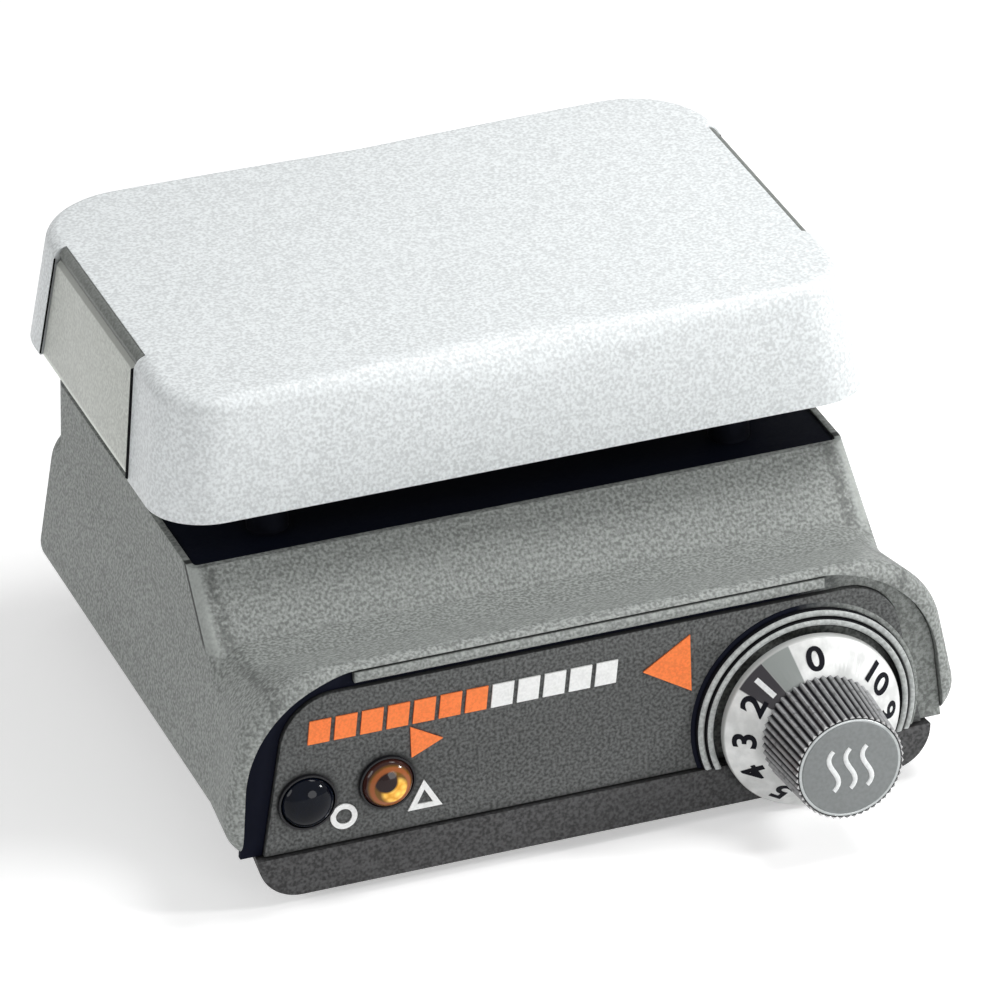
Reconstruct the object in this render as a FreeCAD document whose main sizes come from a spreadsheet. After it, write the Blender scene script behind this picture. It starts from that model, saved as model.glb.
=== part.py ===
import FreeCAD, Part
import math
import os
import re
import Sketcher
from FreeCAD import Vector

# Laboratory hot plate: a pressed white cover over a heating element, on a cast grey housing with a
# control panel, two indicator lamps and a graduated heat knob at the front.
# Frame: +Z up, -Y is the front, the origin lies on the bench below the middle of the whole part.

# Driving sizes, in millimetres and degrees. "Behind" means towards the back from the face plane,
# which is the front edge of the housing's rim around the control panel.
SIZES = {
    # cast housing
    "housing_wall": 3.0,
    "seam_height": 11.0,
    "body_depth": 127.0,
    "body_half_width": 70.6,
    "body_top": 41.5,
    "body_corner": 9.0,
    "side_lean": 10.5,
    "lower_round": 5.2,
    "back_corner": 3.0,
    "hood_flare": 3.1,
    "hood_rise": 6.9,
    "hood_corner": 20.0,
    "hood_foot_round": 8.0,
    "hood_length": 19.0,
    "hood_round": 2.8,
    # recess in the hood's front, with a bead above the panel
    "hood_edge_side": 4.4,
    "hood_edge_top": 2.0,
    "recess_lean": 5.0,
    "recess_corner": 23.0,
    "panel_recess": 3.0,
    "bead_half_width": 46.0,
    "bead_height": 2.6,
    "bead_front": 0.2,
    "bead_round": 1.2,
    # neck under the cover
    "neck_step": 5.6,
    "neck_rise": 11.0,
    "neck_spread": 0.5,
    "neck_front_behind": 38.3,
    "neck_front_slope": 45.0,
    "neck_corner": 2.0,
    "neck_back_corner": 9.0,
    "neck_wall": 1.3,
    "ledge_width": 5.7,
    "ledge_drop": 1.6,
    # dark deck in the neck's rim
    "deck_thickness": 1.2,
    "deck_air": 0.2,
    "deck_screw_radius": 1.2,
    "deck_screw_head": 1.9,
    "deck_screw_grip": 5.0,
    # cover
    "cover_top": 87.2,
    "cover_height": 23.5,
    "cover_front_behind": 33.2,
    "cover_overhang": 6.0,
    "cover_step": 0.2,
    "cover_taper": 3.6,
    "cover_corner": 12.0,
    "cover_back_corner": 18.0,
    "cover_bend": 7.0,
    "cover_side_bend": 3.0,
    "cover_inner_side_bend": 2.1,
    "cover_sheet": 1.5,
    "cut_front": 26.0,
    "cut_back": 24.4,
    "cut_inset": 5.8,
    "cut_flare": 3.0,
    # end panels in the cover's cut-outs
    "end_sheet": 1.2,
    "end_inset": 0.5,
    "end_gap": 0.4,
    "end_strip_drop": 3.4,
    "end_foot": 9.0,
    "end_flap": 6.0,
    # heating pack
    "pan_sheet": 1.0,
    "pan_lift": 1.2,
    "pan_air": 2.2,
    "pan_wall": 9.0,
    "element_radius": 3.2,
    "element_side_inset": 24.8,
    "element_end_inset": 24.4,
    "element_bend": 6.0,
    "element_tail": 7.0,
    "tail_drop": 6.0,
    "tail_air": 0.6,
    "clamp_width": 10.0,
    "clamp_thickness": 1.5,
    "clamp_overlap": 5.0,
    "stud_radius": 2.0,
    "stud_side_inset": 24.8,
    "stud_end_inset": 16.9,
    "stud_end": 2.0,
    "spacer_radius": 4.0,
    "nut_radius": 3.5,
    "nut_height": 3.2,
    # base pan
    "chin_step": 4.2,
    "pan_bottom": 2.5,
    "pan_round": 8.3,
    "base_wall": 2.0,
    "base_back_inset": 1.0,
    "lip_height": 3.0,
    "lip_wall": 1.6,
    "foot_radius": 7.5,
    "foot_side_inset": 20.6,
    "foot_inset": 14.0,
    "foot_post_radius": 4.0,
    "foot_screw_radius": 1.9,
    "foot_screw_head": 3.4,
    "boss_radius": 4.5,
    "boss_side_inset": 16.1,
    "boss_front": 36.0,
    "boss_back": 28.0,
    "base_screw_radius": 1.6,
    "base_screw_head": 3.0,
    "base_screw_grip": 10.0,
    # control panel and its trims
    "panel_side_gap": 4.4,
    "panel_top_gap": 3.7,
    "panel_corner": 11.0,
    "panel_sheet": 2.2,
    "gasket_thickness": 1.2,
    # printed marks
    "mark_thickness": 0.3,
    "mark_height": 4.7,
    "mark_drop": 4.9,
    "mark_left": 9.3,
    "mark_gap": 0.9,
    "mark_slant": 0.6,
    "pointer_gap": 0.6,
    "pointer_width": 9.4,
    "pointer_height": 11.8,
    "pointer_lift": 15.4,
    "symbol_radius": 2.6,
    # knob and dial
    "dial_inset": 23.4,
    "dial_bench_gap": 1.0,
    "dial_gap": 1.1,
    "dial_face_front": 3.0,
    "dial_rim": 1.6,
    "dial_rise": 4.0,
    "dial_plate": 3.0,
    "grip_step": 6.0,
    "grip_taper": 0.9,
    "grip_length": 15.0,
    "flute_count": 48.0,
    "flute_depth": 0.6,
    "cap_step": 1.7,
    "cap_thickness": 1.6,
    "cap_edge": 0.5,
    "cap_stand": 0.2,
    "bezel_width": 4.2,
    "bezel_top_gap": 2.3,
    "bezel_front": 1.0,
    "shaft_radius": 3.0,
    "shaft_hub": 6.0,
    "shaft_play": 0.08,
    "shaft_grip": 10.8,
    "shaft_behind": 3.0,
    "bushing_radius": 4.7,
    "bushing_nut_radius": 7.0,
    "bushing_nut_height": 1.6,
    # heat control behind the panel
    "control_width": 30.0,
    "control_depth": 24.0,
    "control_height": 19.5,
    "control_lift": 1.5,
    "tab_thickness": 0.8,
    "tab_width": 6.3,
    "tab_length": 8.0,
    "tab_spread": 7.5,
    # lamps
    "amber_inset": 24.2,
    "amber_drop": 20.6,
    "amber_radius": 4.9,
    "dark_inset": 8.7,
    "dark_drop": 21.3,
    "dark_radius": 5.1,
    "lens_front": 1.9,
    "lens_round": 2.4,
    "lamp_rim": 0.5,
    "lamp_barrel": 4.0,
    "lamp_length": 20.0,
    "lamp_tab_length": 7.0,
    "lamp_tab_width": 3.0,
    "lamp_tab_spread": 1.8,
    # power inlet in the back wall
    "inlet_x": -28.0,
    "inlet_drop": 0.75,
    "inlet_width": 27.0,
    "inlet_tall": 19.5,
    "inlet_flange_width": 49.0,
    "inlet_flange_tall": 23.5,
    "inlet_flange": 2.0,
    "inlet_depth": 24.0,
    "socket_width": 24.0,
    "socket_tall": 16.5,
    "socket_depth": 16.5,
    "pin_width": 2.0,
    "pin_tall": 4.0,
    "pin_length": 10.5,
    "pin_tail": 8.0,
    "pin_spread": 7.0,
    "pin_drop": 2.0,
    "pin_rise": 2.5,
    "inlet_screw_pitch": 40.0,
    "inlet_screw_radius": 1.5,
    "inlet_screw_head": 2.8,
    # inner electrics
    "block_x": -5.0,
    "block_ahead": 35.0,
    "block_width": 36.0,
    "block_depth": 16.0,
    "block_tall": 12.0,
    "block_screw_head": 2.4,
    "ground_aside": 12.0,
    "ground_behind": 8.0,
    "ground_length": 14.0,
    "ground_nut_radius": 3.8,
    "lead_radius": 1.2,
    "lead_bend": 3.0,
    "lead_turn": 12.0,
    # running and fitting clearances
    "fit": 0.15,
    "seat": 0.1,
}

# Sizes and places that follow from the ones above, kept in the sheet as formulas.
RELATIONS = {
    "hood_half_width": "body_half_width + hood_flare",
    "hood_top": "body_top + hood_rise",
    "neck_half_width": "body_half_width - neck_step",
    "neck_rim_height": "body_top + neck_rise",
    "cover_half_width": "body_half_width + cover_step",
    "cut_edge": "cover_half_width - cut_inset",
    "boss_x": "body_half_width - boss_side_inset",
    "foot_x": "body_half_width - foot_side_inset",
    "chin_half_width": "body_half_width - chin_step",
    "panel_half_width": "hood_half_width - hood_edge_side - panel_side_gap",
    "recess_top": "hood_top - hood_edge_top",
    "panel_top": "recess_top - panel_top_gap",
    "dial_radius": "(panel_top - bezel_top_gap - bezel_width - dial_bench_gap) / 2",
    "dial_height": "dial_bench_gap + dial_radius",
    "dial_x": "panel_half_width - dial_inset",
    "bezel_radius": "dial_radius + bezel_width",
    "bezel_bore": "dial_radius + dial_gap",
    "grip_radius": "dial_radius - grip_step",
    "grip_tip_radius": "grip_radius - grip_taper",
    "cap_radius": "grip_radius - cap_step",
    "amber_x": "amber_inset - panel_half_width",
    "dark_x": "dark_inset - panel_half_width",
    "amber_height": "panel_top - amber_drop",
    "dark_height": "panel_top - dark_drop",
    "inlet_height": "(seam_height + body_top) / 2 - inlet_drop",
    "knob_reach": "dial_face_front + dial_rise + grip_length + cap_stand",
    "face_plane": "(knob_reach - body_depth - cover_overhang) / 2",
    "back_plane": "face_plane + body_depth",
    "wall_plane": "face_plane + panel_recess",
    "panel_plane": "wall_plane - panel_sheet",
    "inner_plane": "wall_plane + housing_wall",
    "rim_plane": "face_plane + neck_front_behind",
    "cover_front": "face_plane + cover_front_behind",
    "cover_back": "back_plane + cover_overhang",
    "cover_depth": "cover_back - cover_front",
    "cover_middle": "(cover_front + cover_back) / 2",
    "cover_bottom": "cover_top - cover_height",
    "cover_under": "cover_top - cover_sheet",
    "ledge_top": "neck_rim_height - ledge_drop",
    "deck_top": "ledge_top + deck_thickness",
    "pan_floor": "cover_bottom + end_sheet + seat",
    "element_height": "cover_under - element_radius - seat",
    "wool_top": "element_height - element_radius - clamp_thickness",
    "element_run": "cover_half_width - element_side_inset",
    "element_pitch": "(cover_depth - 2 * element_end_inset) / 3",
    "stud_x": "cover_half_width - stud_side_inset",
    "stud_y": "cover_depth / 2 - stud_end_inset",
}

os.makedirs("parts", exist_ok=True)
doc = FreeCAD.newDocument("hot_plate")
sheet = doc.addObject("Spreadsheet::Sheet", "sizes")
cells = list(SIZES.items()) + [(alias, f"={formula}") for alias, formula in RELATIONS.items()]
for row, (alias, content) in enumerate(cells, start=1):
    sheet.set(f"A{row}", alias)
    sheet.setAlias(f"B{row}", alias)
    sheet.set(f"B{row}", str(content))
doc.recompute()


def size(alias):
    """A size or place, read from the sheet."""
    return float(sheet.get(alias))



FACE_Y = size("face_plane")
BACK_Y = size("back_plane")
WALL_Y = size("wall_plane")
PANEL_FRONT = size("panel_plane")
INNER_Y = size("inner_plane")
RIM_Y = size("rim_plane")
COVER_FRONT = size("cover_front")
COVER_BACK = size("cover_back")
COVER_Y = size("cover_middle")
COVER_BOTTOM = size("cover_bottom")
COVER_UNDER = size("cover_under")
LEDGE_TOP = size("ledge_top")
DECK_TOP = size("deck_top")
PAN_FLOOR = size("pan_floor")
ELEMENT_Z = size("element_height")

ALIASES = set(SIZES) | set(RELATIONS)
NODES = []


def bound(expression):
    """The expression with each alias read from the sheet."""
    return re.sub(r"[a-z_]+", lambda word: f"sizes.{word.group(0)}" if word.group(0) in ALIASES
                  else word.group(0), str(expression))


def bind(thing, **properties):
    """Ties properties of an object to the sheet. A double underscore stands for a dot."""
    for name, expression in properties.items():
        thing.setExpression(name.replace("__", "."), bound(expression))


def node(name, thing):
    """Marks an object of the document as the finished piece of that name."""
    thing.Label = name
    NODES.append((name, thing))
    return thing


def feature(name, shape):
    """A piece whose shape is made with Part's own functions."""
    thing = doc.addObject("Part::Feature", name)
    thing.Shape = shape
    return thing


def box(name, low, high):
    """A Part box between two corners given as expressions."""
    thing = doc.addObject("Part::Box", name)
    bind(thing, Length=f"({high[0]}) - ({low[0]})", Width=f"({high[1]}) - ({low[1]})",
         Height=f"({high[2]}) - ({low[2]})", Placement__Base__x=low[0],
         Placement__Base__y=low[1], Placement__Base__z=low[2])
    return thing


def round_bar(name, axis, start, radius, length):
    """A Part cylinder that starts at a point and runs along +Z, or along -Y to the front."""
    thing = doc.addObject("Part::Cylinder", name)
    turn = FreeCAD.Rotation(Vector(1, 0, 0), 90 if axis == "front" else 0)
    thing.Placement = FreeCAD.Placement(Vector(0, 0, 0), turn)
    bind(thing, Radius=radius, Height=length, Placement__Base__x=start[0],
         Placement__Base__y=start[1], Placement__Base__z=start[2])
    return thing


def cut(name, base, tool):
    """The base object without the tool object."""
    thing = doc.addObject("Part::Cut", name)
    thing.Base = base
    thing.Tool = tool
    return thing


def grouped(name, things):
    """Several objects as one group of solids."""
    thing = doc.addObject("Part::Compound", name)
    thing.Links = things
    return thing


def fused(name, things):
    """Several objects as one solid."""
    thing = doc.addObject("Part::MultiFuse", name)
    thing.Shapes = things
    thing.Refine = True
    return thing


# Outlines

def rounded(points, radii, closed=True):
    """A wire through points, each corner rounded by its radius with a tangent arc."""
    edges = []
    count = len(points)
    starts, ends = [], []
    for i, (point, radius) in enumerate(zip(points, radii)):
        before, after = points[i - 1], points[(i + 1) % count]
        if radius <= 0 or (not closed and i in (0, count - 1)):
            starts.append((point, None))
            ends.append(point)
            continue
        into = (before - point).normalize()
        out = (after - point).normalize()
        half = into.getAngle(out) / 2.0
        reach = radius / math.tan(half)
        middle = (into + out).normalize()
        centre = point + middle * (radius / math.sin(half))
        starts.append((point + into * reach, centre - middle * radius))
        ends.append(point + out * reach)
    for i in range(count):
        begin, through = starts[i]
        if through is not None:
            edges.append(Part.Arc(begin, through, ends[i]).toShape())
        if i == count - 1 and not closed:
            break
        target = starts[(i + 1) % count][0]
        if (target - ends[i]).Length > 1e-6:
            edges.append(Part.LineSegment(ends[i], target).toShape())
    return Part.Wire(edges)


def front_outline(y, half_width, top, corner, bottom, lower, inset=0.0, lean_name="side_lean"):
    """The loaf outline in a plane across Y: leaning sides, round shoulders, maybe a rounded foot."""
    lean = math.tan(math.radians(size(lean_name)))
    low = half_width - inset
    high = low - (top - inset - size("seam_height")) * lean
    base = low + (size("seam_height") - bottom) * lean
    points = [Vector(-base, y, bottom), Vector(base, y, bottom),
              Vector(high, y, top - inset), Vector(-high, y, top - inset)]
    return rounded(points, [lower, lower, corner, corner])


def plan_outline(z, half_x, front, back, corner, back_corner=None):
    """A rounded rectangle in a level plane, its two back corners rounded alike or by their own radius."""
    points = [Vector(-half_x, front, z), Vector(half_x, front, z),
              Vector(half_x, back, z), Vector(-half_x, back, z)]
    rear = corner if back_corner is None else back_corner
    return rounded(points, [corner, corner, rear, rear])


def slab(outline, low, high):
    """An outline in a level plane, raised from one height to another."""
    face = Part.Face(outline)
    face.translate(Vector(0, 0, low - outline.BoundBox.ZMin))
    return face.extrude(Vector(0, 0, high - low))


def across(outline, length):
    """An outline in a plane across Y, pulled towards the back."""
    return Part.Face(outline).extrude(Vector(0, length, 0))


def tapered_block(low_z, high_z, low_half, high_half, low_front, high_front, low_back, high_back):
    """A block whose four walls are plane and may lean."""
    reach = 4 * low_half
    side = Part.makePolygon([Vector(-reach, low_front, low_z), Vector(-reach, high_front, high_z),
                             Vector(-reach, high_back, high_z), Vector(-reach, low_back, low_z),
                             Vector(-reach, low_front, low_z)])
    start = low_front - reach
    front = Part.makePolygon([Vector(-low_half, start, low_z), Vector(-high_half, start, high_z),
                              Vector(high_half, start, high_z), Vector(low_half, start, low_z),
                              Vector(-low_half, start, low_z)])
    block = Part.Face(side).extrude(Vector(2 * reach, 0, 0))
    return block.common(Part.Face(front).extrude(Vector(0, low_back - start + reach, 0)))


def rising_edges(shape):
    """The edges that run mostly upwards."""
    return [edge for edge in shape.Edges
            if abs(edge.Vertexes[0].Z - edge.Vertexes[-1].Z) > 0.6 * edge.Length]


def along_front(x, z, radius, y_back, y_front):
    """A plain cylinder between two planes across Y, for holes and barrels."""
    return Part.makeCylinder(radius, y_back - y_front, Vector(x, y_back, z), Vector(0, -1, 0))


def upright(x, y, radius, low, high):
    """A plain upright cylinder."""
    return Part.makeCylinder(radius, high - low, Vector(x, y, low))


def hexagon(x, y, radius, low, high, bore=0.0):
    """A hexagonal nut or head, with a bore if one is given."""
    points = [Vector(x + radius * math.cos(math.radians(60 * k)),
                     y + radius * math.sin(math.radians(60 * k)), low) for k in range(6)]
    solid = Part.Face(Part.makePolygon(points + points[:1])).extrude(Vector(0, 0, high - low))
    return solid.cut(upright(x, y, bore, low - 1, high + 1)) if bore else solid


def bent_strip(points, thickness):
    """A folded sheet's section: a line of points, thickened to its right."""
    normals = []
    for begin, end in zip(points, points[1:]):
        run = (end - begin).normalize()
        normals.append(Vector(run.z, 0, -run.x))
    inner = []
    for i, point in enumerate(points):
        around = normals[max(i - 1, 0):i + 1] if i < len(normals) else normals[-1:]
        around = around if i else normals[:1]
        middle = sum(around[1:], around[0]).normalize()
        inner.append(point + middle * (thickness / max(middle.dot(around[0]), 0.2)))
    return Part.Face(Part.makePolygon(points + inner[::-1] + points[:1]))


def tube(points, radius, bend):
    """A round bar along straight runs joined by tangent arcs."""
    path = rounded(points, [bend] * len(points), closed=False)
    run = (points[1] - points[0]).normalize()
    ring = Part.Wire(Part.makeCircle(radius, points[0], run))
    return path.makePipeShell([ring], True, True)


# Places that several pieces share

BOSSES = [(side * size("boss_x"), y) for side in (-1, 1)
          for y in (FACE_Y + size("boss_front"), BACK_Y - size("boss_back"))]
FEET = [(side * size("foot_x"), y) for side in (-1, 1)
        for y in (FACE_Y + size("foot_inset"), BACK_Y - size("foot_inset"))]
STUDS = [(side * size("stud_x"), COVER_Y + row * size("stud_y")) for side in (-1, 1) for row in (-1, 1)]
LEDGE_MIDDLE = size("neck_half_width") - size("neck_wall") - size("ledge_width") / 2.0
DECK_SCREWS = [(side * LEDGE_MIDDLE, COVER_Y + row * size("stud_y") / 2.0)
               for side in (-1, 1) for row in (-1, 1)]
LAMPS = [("amber", "amber_x", "amber_height", "amber_radius"),
         ("dark", "dark_x", "dark_height", "dark_radius")]
LEAD_X = size("element_run") + size("element_tail")
LEADS = [(LEAD_X, COVER_Y + row * 1.5 * size("element_pitch")) for row in (-1, 1)]


# Cast housing: loaf body, flared hood around the panel, neck below the cover

def hood_section(y, bottom, inset=0.0):
    """The outline between the hood's front edge and the body, at a given distance back."""
    share = min(max((y - FACE_Y) / size("hood_length"), 0.0), 1.0)
    half = size("hood_half_width") + share * (size("body_half_width") - size("hood_half_width"))
    top = size("hood_top") + share * (size("body_top") - size("hood_top"))
    corner = size("hood_corner") + share * (size("body_corner") - size("hood_corner"))
    foot = size("hood_foot_round") + share * (size("lower_round") - size("hood_foot_round"))
    lower = max(foot - inset, 0.5)
    return front_outline(y, half, top, corner - inset, bottom, lower, inset)


def loaf(front, back, bottom, inset=0.0):
    """Hood and body as one solid, between two planes across Y."""
    hood_back = FACE_Y + size("hood_length")
    hood = Part.makeLoft([hood_section(front, bottom, inset), hood_section(hood_back, bottom, inset)],
                         True, True)
    if inset == 0:
        hood = hood.makeFillet(size("hood_round"),
                               [edge for edge in hood.Edges if edge.BoundBox.YMax < front + 0.001])
    body = across(hood_section(hood_back, bottom, inset), back - hood_back)
    corner = size("back_corner") - inset
    if corner > 0:
        body = body.makeFillet(corner, [edge for edge in body.Edges if edge.BoundBox.YMin > back - 0.001])
    return hood.fuse(body)


def neck_block(inset, bottom, top):
    """The neck's block, its front leaning back, smaller all round by an inset."""
    slope = math.tan(math.radians(size("neck_front_slope")))
    rim = size("neck_rim_height")

    def half(z):
        return size("neck_half_width") + size("neck_spread") * (rim - z) / 10.0 - inset

    def front(z):
        return RIM_Y - (rim - z) / slope + inset

    block = tapered_block(bottom, top, half(bottom), half(top), front(bottom), front(top),
                          BACK_Y - inset, BACK_Y - inset)
    for corner, at_back in ((size("neck_corner"), False), (size("neck_back_corner"), True)):
        if corner - inset > 0.5:
            block = block.makeFillet(corner - inset, [
                edge for edge in rising_edges(block)
                if (edge.BoundBox.YMin > BACK_Y - inset - 0.001) == at_back])
    return block


def build_upper_housing():
    wall = size("housing_wall")
    fit = size("fit")
    seam = size("seam_height")
    outer = loaf(FACE_Y, BACK_Y, seam)
    outer = outer.fuse(neck_block(0.0, size("body_top") - size("body_corner"), size("neck_rim_height")))
    shell = outer.cut(loaf(INNER_Y, BACK_Y - wall, seam + wall, wall))
    # the foot opening, where the base pan's lip stands
    flat = size("body_half_width") - size("lower_round") * 1.2 - wall
    shell = shell.cut(slab(plan_outline(0.0, flat, INNER_Y, BACK_Y - wall, 3.0), seam - 1.0, seam + wall + 1))
    # the neck is hollow: narrow below the ledge, wide above it
    narrow = size("neck_wall") + size("ledge_width")
    shell = shell.cut(neck_block(narrow, size("body_top") - size("body_corner"), LEDGE_TOP))
    shell = shell.cut(neck_block(size("neck_wall"), LEDGE_TOP, size("neck_rim_height")))
    # recess for the panel in the hood's front, and the bead that runs along above the panel
    recess = front_outline(FACE_Y, size("hood_half_width") - size("hood_edge_side"), size("recess_top"),
                           size("recess_corner"), seam, 0.0, lean_name="recess_lean")
    shell = shell.cut(across(recess, size("panel_recess")))
    bead_y = FACE_Y + size("bead_front")
    bead_low = size("recess_top") - size("bead_height")
    bead = Part.makeBox(2 * size("bead_half_width"), WALL_Y - bead_y + 0.5, size("bead_height") - 0.4,
                        Vector(-size("bead_half_width"), bead_y, bead_low))
    bead = bead.makeFillet(size("bead_round") - 0.15, [
        edge for edge in bead.Edges if edge.BoundBox.YMax < bead_y + 0.001])
    shell = shell.fuse(bead.common(across(recess, size("panel_recess") + 0.5)))
    # bosses for the base screws, each ribbed to the side wall
    roof = size("body_top") - size("body_corner")
    for x, y in BOSSES:
        side = 1 if x > 0 else -1
        boss = upright(x, y, size("boss_radius"), seam, roof)
        rib = Part.makeBox(20.0, 2.5, roof - seam - 6.0, Vector(min(x, x + side * 20.0), y - 1.25, seam + 6.0))
        shell = shell.fuse(boss.fuse(rib).common(outer))
    for x, y in BOSSES:
        shell = shell.cut(upright(x, y, size("base_screw_radius") + fit, seam - 1.0, seam + 12.0))
    # holes in the wall behind the panel
    shell = shell.cut(along_front(size("dial_x"), size("dial_height"), size("bushing_radius") + fit,
                                  INNER_Y + 0.5, FACE_Y))
    for _, x, z, _ in LAMPS:
        shell = shell.cut(along_front(size(x), size(z), size("lamp_barrel") + fit, INNER_Y + 0.5, FACE_Y))
    # opening for the power inlet and its two screws
    wide = size("inlet_width") + 2 * fit
    tall = size("inlet_tall") + 2 * fit
    shell = shell.cut(Part.makeBox(wide, wall + 2.0, tall, Vector(
        size("inlet_x") - wide / 2, BACK_Y - wall - 1.0, size("inlet_height") - tall / 2)))
    for side in (-1, 1):
        x = size("inlet_x") + side * size("inlet_screw_pitch") / 2.0
        shell = shell.cut(along_front(x, size("inlet_height"), size("inlet_screw_radius") + fit,
                                      BACK_Y + 0.5, BACK_Y - wall - 0.5))
    # blind holes of the deck screws
    for x, y in DECK_SCREWS:
        shell = shell.cut(upright(x, y, size("deck_screw_radius") + fit,
                                  LEDGE_TOP - size("tail_drop"), LEDGE_TOP + 0.5))
    node("upper_housing", feature("upper_housing", shell.removeSplitter()))


# Base pan, feet and screws

def pan_outline(y, half, inset, top):
    """The pan's section across Y: flat floor, round lower corners, open or closed above."""
    low = size("pan_bottom") + inset
    corner = min(max(size("pan_round") - inset, 1.0), top - low - 0.2)
    points = [Vector(-half + inset, y, top), Vector(-half + inset, y, low),
              Vector(half - inset, y, low), Vector(half - inset, y, top)]
    return rounded(points, [0, corner, corner, 0])


def pan_block(inset, top):
    """The base pan's block: as wide as the hood in front, narrower under the body."""
    front = FACE_Y + inset
    middle = FACE_Y + size("hood_length")
    back = BACK_Y - size("base_back_inset") - inset
    rear_half = size("body_half_width") - size("lower_round") * 1.2
    chin = Part.makeLoft([pan_outline(front, size("chin_half_width"), inset, top),
                          pan_outline(middle, rear_half, inset, top)], True, True)
    return chin.fuse(across(pan_outline(middle, rear_half, inset, top), back - middle))


def build_base_pan():
    fit = size("fit")
    wall = size("base_wall")
    bottom = size("pan_bottom")
    seam = size("seam_height")
    lip_gap = size("housing_wall") + 0.4
    outer = pan_block(0.0, seam)
    half = size("body_half_width") - size("lower_round") * 1.2 - lip_gap
    front = INNER_Y + 0.6
    rear = BACK_Y - size("housing_wall") - 0.6
    lip = plan_outline(0.0, half, front, rear, 3.0)
    bore = plan_outline(0.0, half - size("lip_wall"), front + size("lip_wall"), rear - size("lip_wall"), 2.0)
    shell = outer.fuse(slab(lip, seam - 1.0, seam + size("lip_height")))
    shell = shell.cut(pan_block(wall, seam - 2.6))
    shell = shell.cut(slab(bore, seam - 3.0, seam + size("lip_height") + 1.0))
    # room for the heat control and the lamp barrels behind the front wall
    lip_corner = 3.0
    shell = shell.cut(Part.makeBox(2 * (half - lip_corner), 4 * lip_corner, size("lip_height") + 1.0,
                                   Vector(lip_corner - half, front - lip_corner, seam)))
    for x, y in BOSSES:
        shell = shell.fuse(upright(x, y, size("boss_radius"), bottom + 1.0, seam))
    for x, y in FEET:
        shell = shell.fuse(upright(x, y, size("foot_post_radius"), bottom + 1.0, seam - 1.0))
    for x, y in BOSSES:
        shell = shell.cut(upright(x, y, size("base_screw_radius") + fit, 0.0, seam + 1.0))
        shell = shell.cut(upright(x, y, size("base_screw_head") + fit, 0.0, bottom + wall))
    for x, y in FEET:
        shell = shell.cut(upright(x, y, size("foot_screw_radius") + fit, 0.0, seam - 2.0))
    node("base_pan", feature("base_pan", shell.removeSplitter()))


def build_feet():
    feet, screws, base_screws = [], [], []
    for number, (x, y) in enumerate(FEET):
        foot = Part.makeCone(size("foot_radius") - 1.0, size("foot_radius"), size("pan_bottom"), Vector(x, y, 0.0))
        foot = foot.cut(upright(x, y, size("foot_screw_radius") + size("fit"), -1.0, size("pan_bottom") + 1.0))
        feet.append(foot.cut(upright(x, y, size("foot_screw_head") + 0.2, -1.0, size("pan_bottom") / 2.0)))
        place = (f"{'-' if x < 0 else ''}foot_x", y)
        head = round_bar(f"foot_screw_head_{number}", "up", (*place, "pan_bottom / 2 - 1"), "foot_screw_head", "1")
        stem = round_bar(f"foot_screw_stem_{number}", "up", (*place, "pan_bottom / 2"), "foot_screw_radius",
                         "seam_height - pan_bottom / 2 - 3")
        screws.append(fused(f"foot_screw_{number}", [head, stem]))
    for number, (x, y) in enumerate(BOSSES):
        place = (f"{'-' if x < 0 else ''}boss_x", y)
        head = round_bar(f"base_screw_head_{number}", "up", (*place, "pan_bottom"), "base_screw_head", "base_wall")
        stem = round_bar(f"base_screw_stem_{number}", "up", (*place, "pan_bottom + base_wall"), "base_screw_radius",
                         "seam_height + base_screw_grip - pan_bottom - base_wall")
        base_screws.append(fused(f"base_screw_{number}", [head, stem]))
    node("feet", feature("feet", Part.makeCompound(feet)))
    node("foot_screws", grouped("foot_screws", screws))
    node("base_screws", grouped("base_screws", base_screws))


# Cover, end panels and heating pack

def cover_block(name, inset):
    """The cover's outer or inner form: leaning walls, soft front and back bends, tighter side bends."""
    top = size("cover_top") - inset
    lean = size("cover_taper") * (top - COVER_BOTTOM) / size("cover_height")
    half = size("cover_half_width") - inset
    front = COVER_FRONT + inset
    back = COVER_BACK - inset
    block = tapered_block(COVER_BOTTOM, top, half, half - lean, front, front + lean, back, back - lean)
    for corner, at_back in ((size("cover_corner"), False), (size("cover_back_corner"), True)):
        block = block.makeFillet(corner - inset, [
            edge for edge in rising_edges(block)
            if (edge.BoundBox.YMin > COVER_Y) == at_back and abs(edge.BoundBox.YMin - COVER_Y) > size("stud_y")])
    base = feature(f"{name}_block", block)
    bend = size("cover_bend") - inset
    side_bend = size("cover_inner_side_bend" if inset else "cover_side_bend")
    rounds = []
    for number, edge in enumerate(block.Edges, start=1):
        begin, end = edge.Vertexes[0].Point, edge.Vertexes[-1].Point
        if min(begin.z, end.z) < top - 0.001:
            continue
        if abs(begin.y - end.y) < 0.001:
            rounds.append((number, bend, bend))
        elif abs(begin.x - end.x) < 0.001:
            rounds.append((number, side_bend, side_bend))
        else:
            # a corner's radius goes from one bend to the other, counted along the edge's own direction
            from_front = (abs(begin.x) < abs(end.x)) == (edge.Orientation == "Forward")
            rounds.append((number, bend, side_bend) if from_front else (number, side_bend, bend))
    soft = doc.addObject("Part::Fillet", name)
    soft.Base = base
    soft.Edges = rounds
    # one half and its mirror image, so that both sides are alike
    keep = doc.addObject("Part::Box", f"{name}_side")
    bind(keep, Length="2 * cover_half_width", Width="2 * cover_depth", Height="2 * cover_height",
         Placement__Base__y="cover_front - cover_depth / 2", Placement__Base__z="cover_bottom - 1")
    half = doc.addObject("Part::Common", f"{name}_half")
    half.Base, half.Tool = soft, keep
    twin = doc.addObject("Part::Mirroring", f"{name}_twin")
    twin.Source = half
    twin.Normal = Vector(1, 0, 0)
    whole = fused(f"{name}_whole", [half, twin])
    doc.recompute()
    return whole


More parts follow.
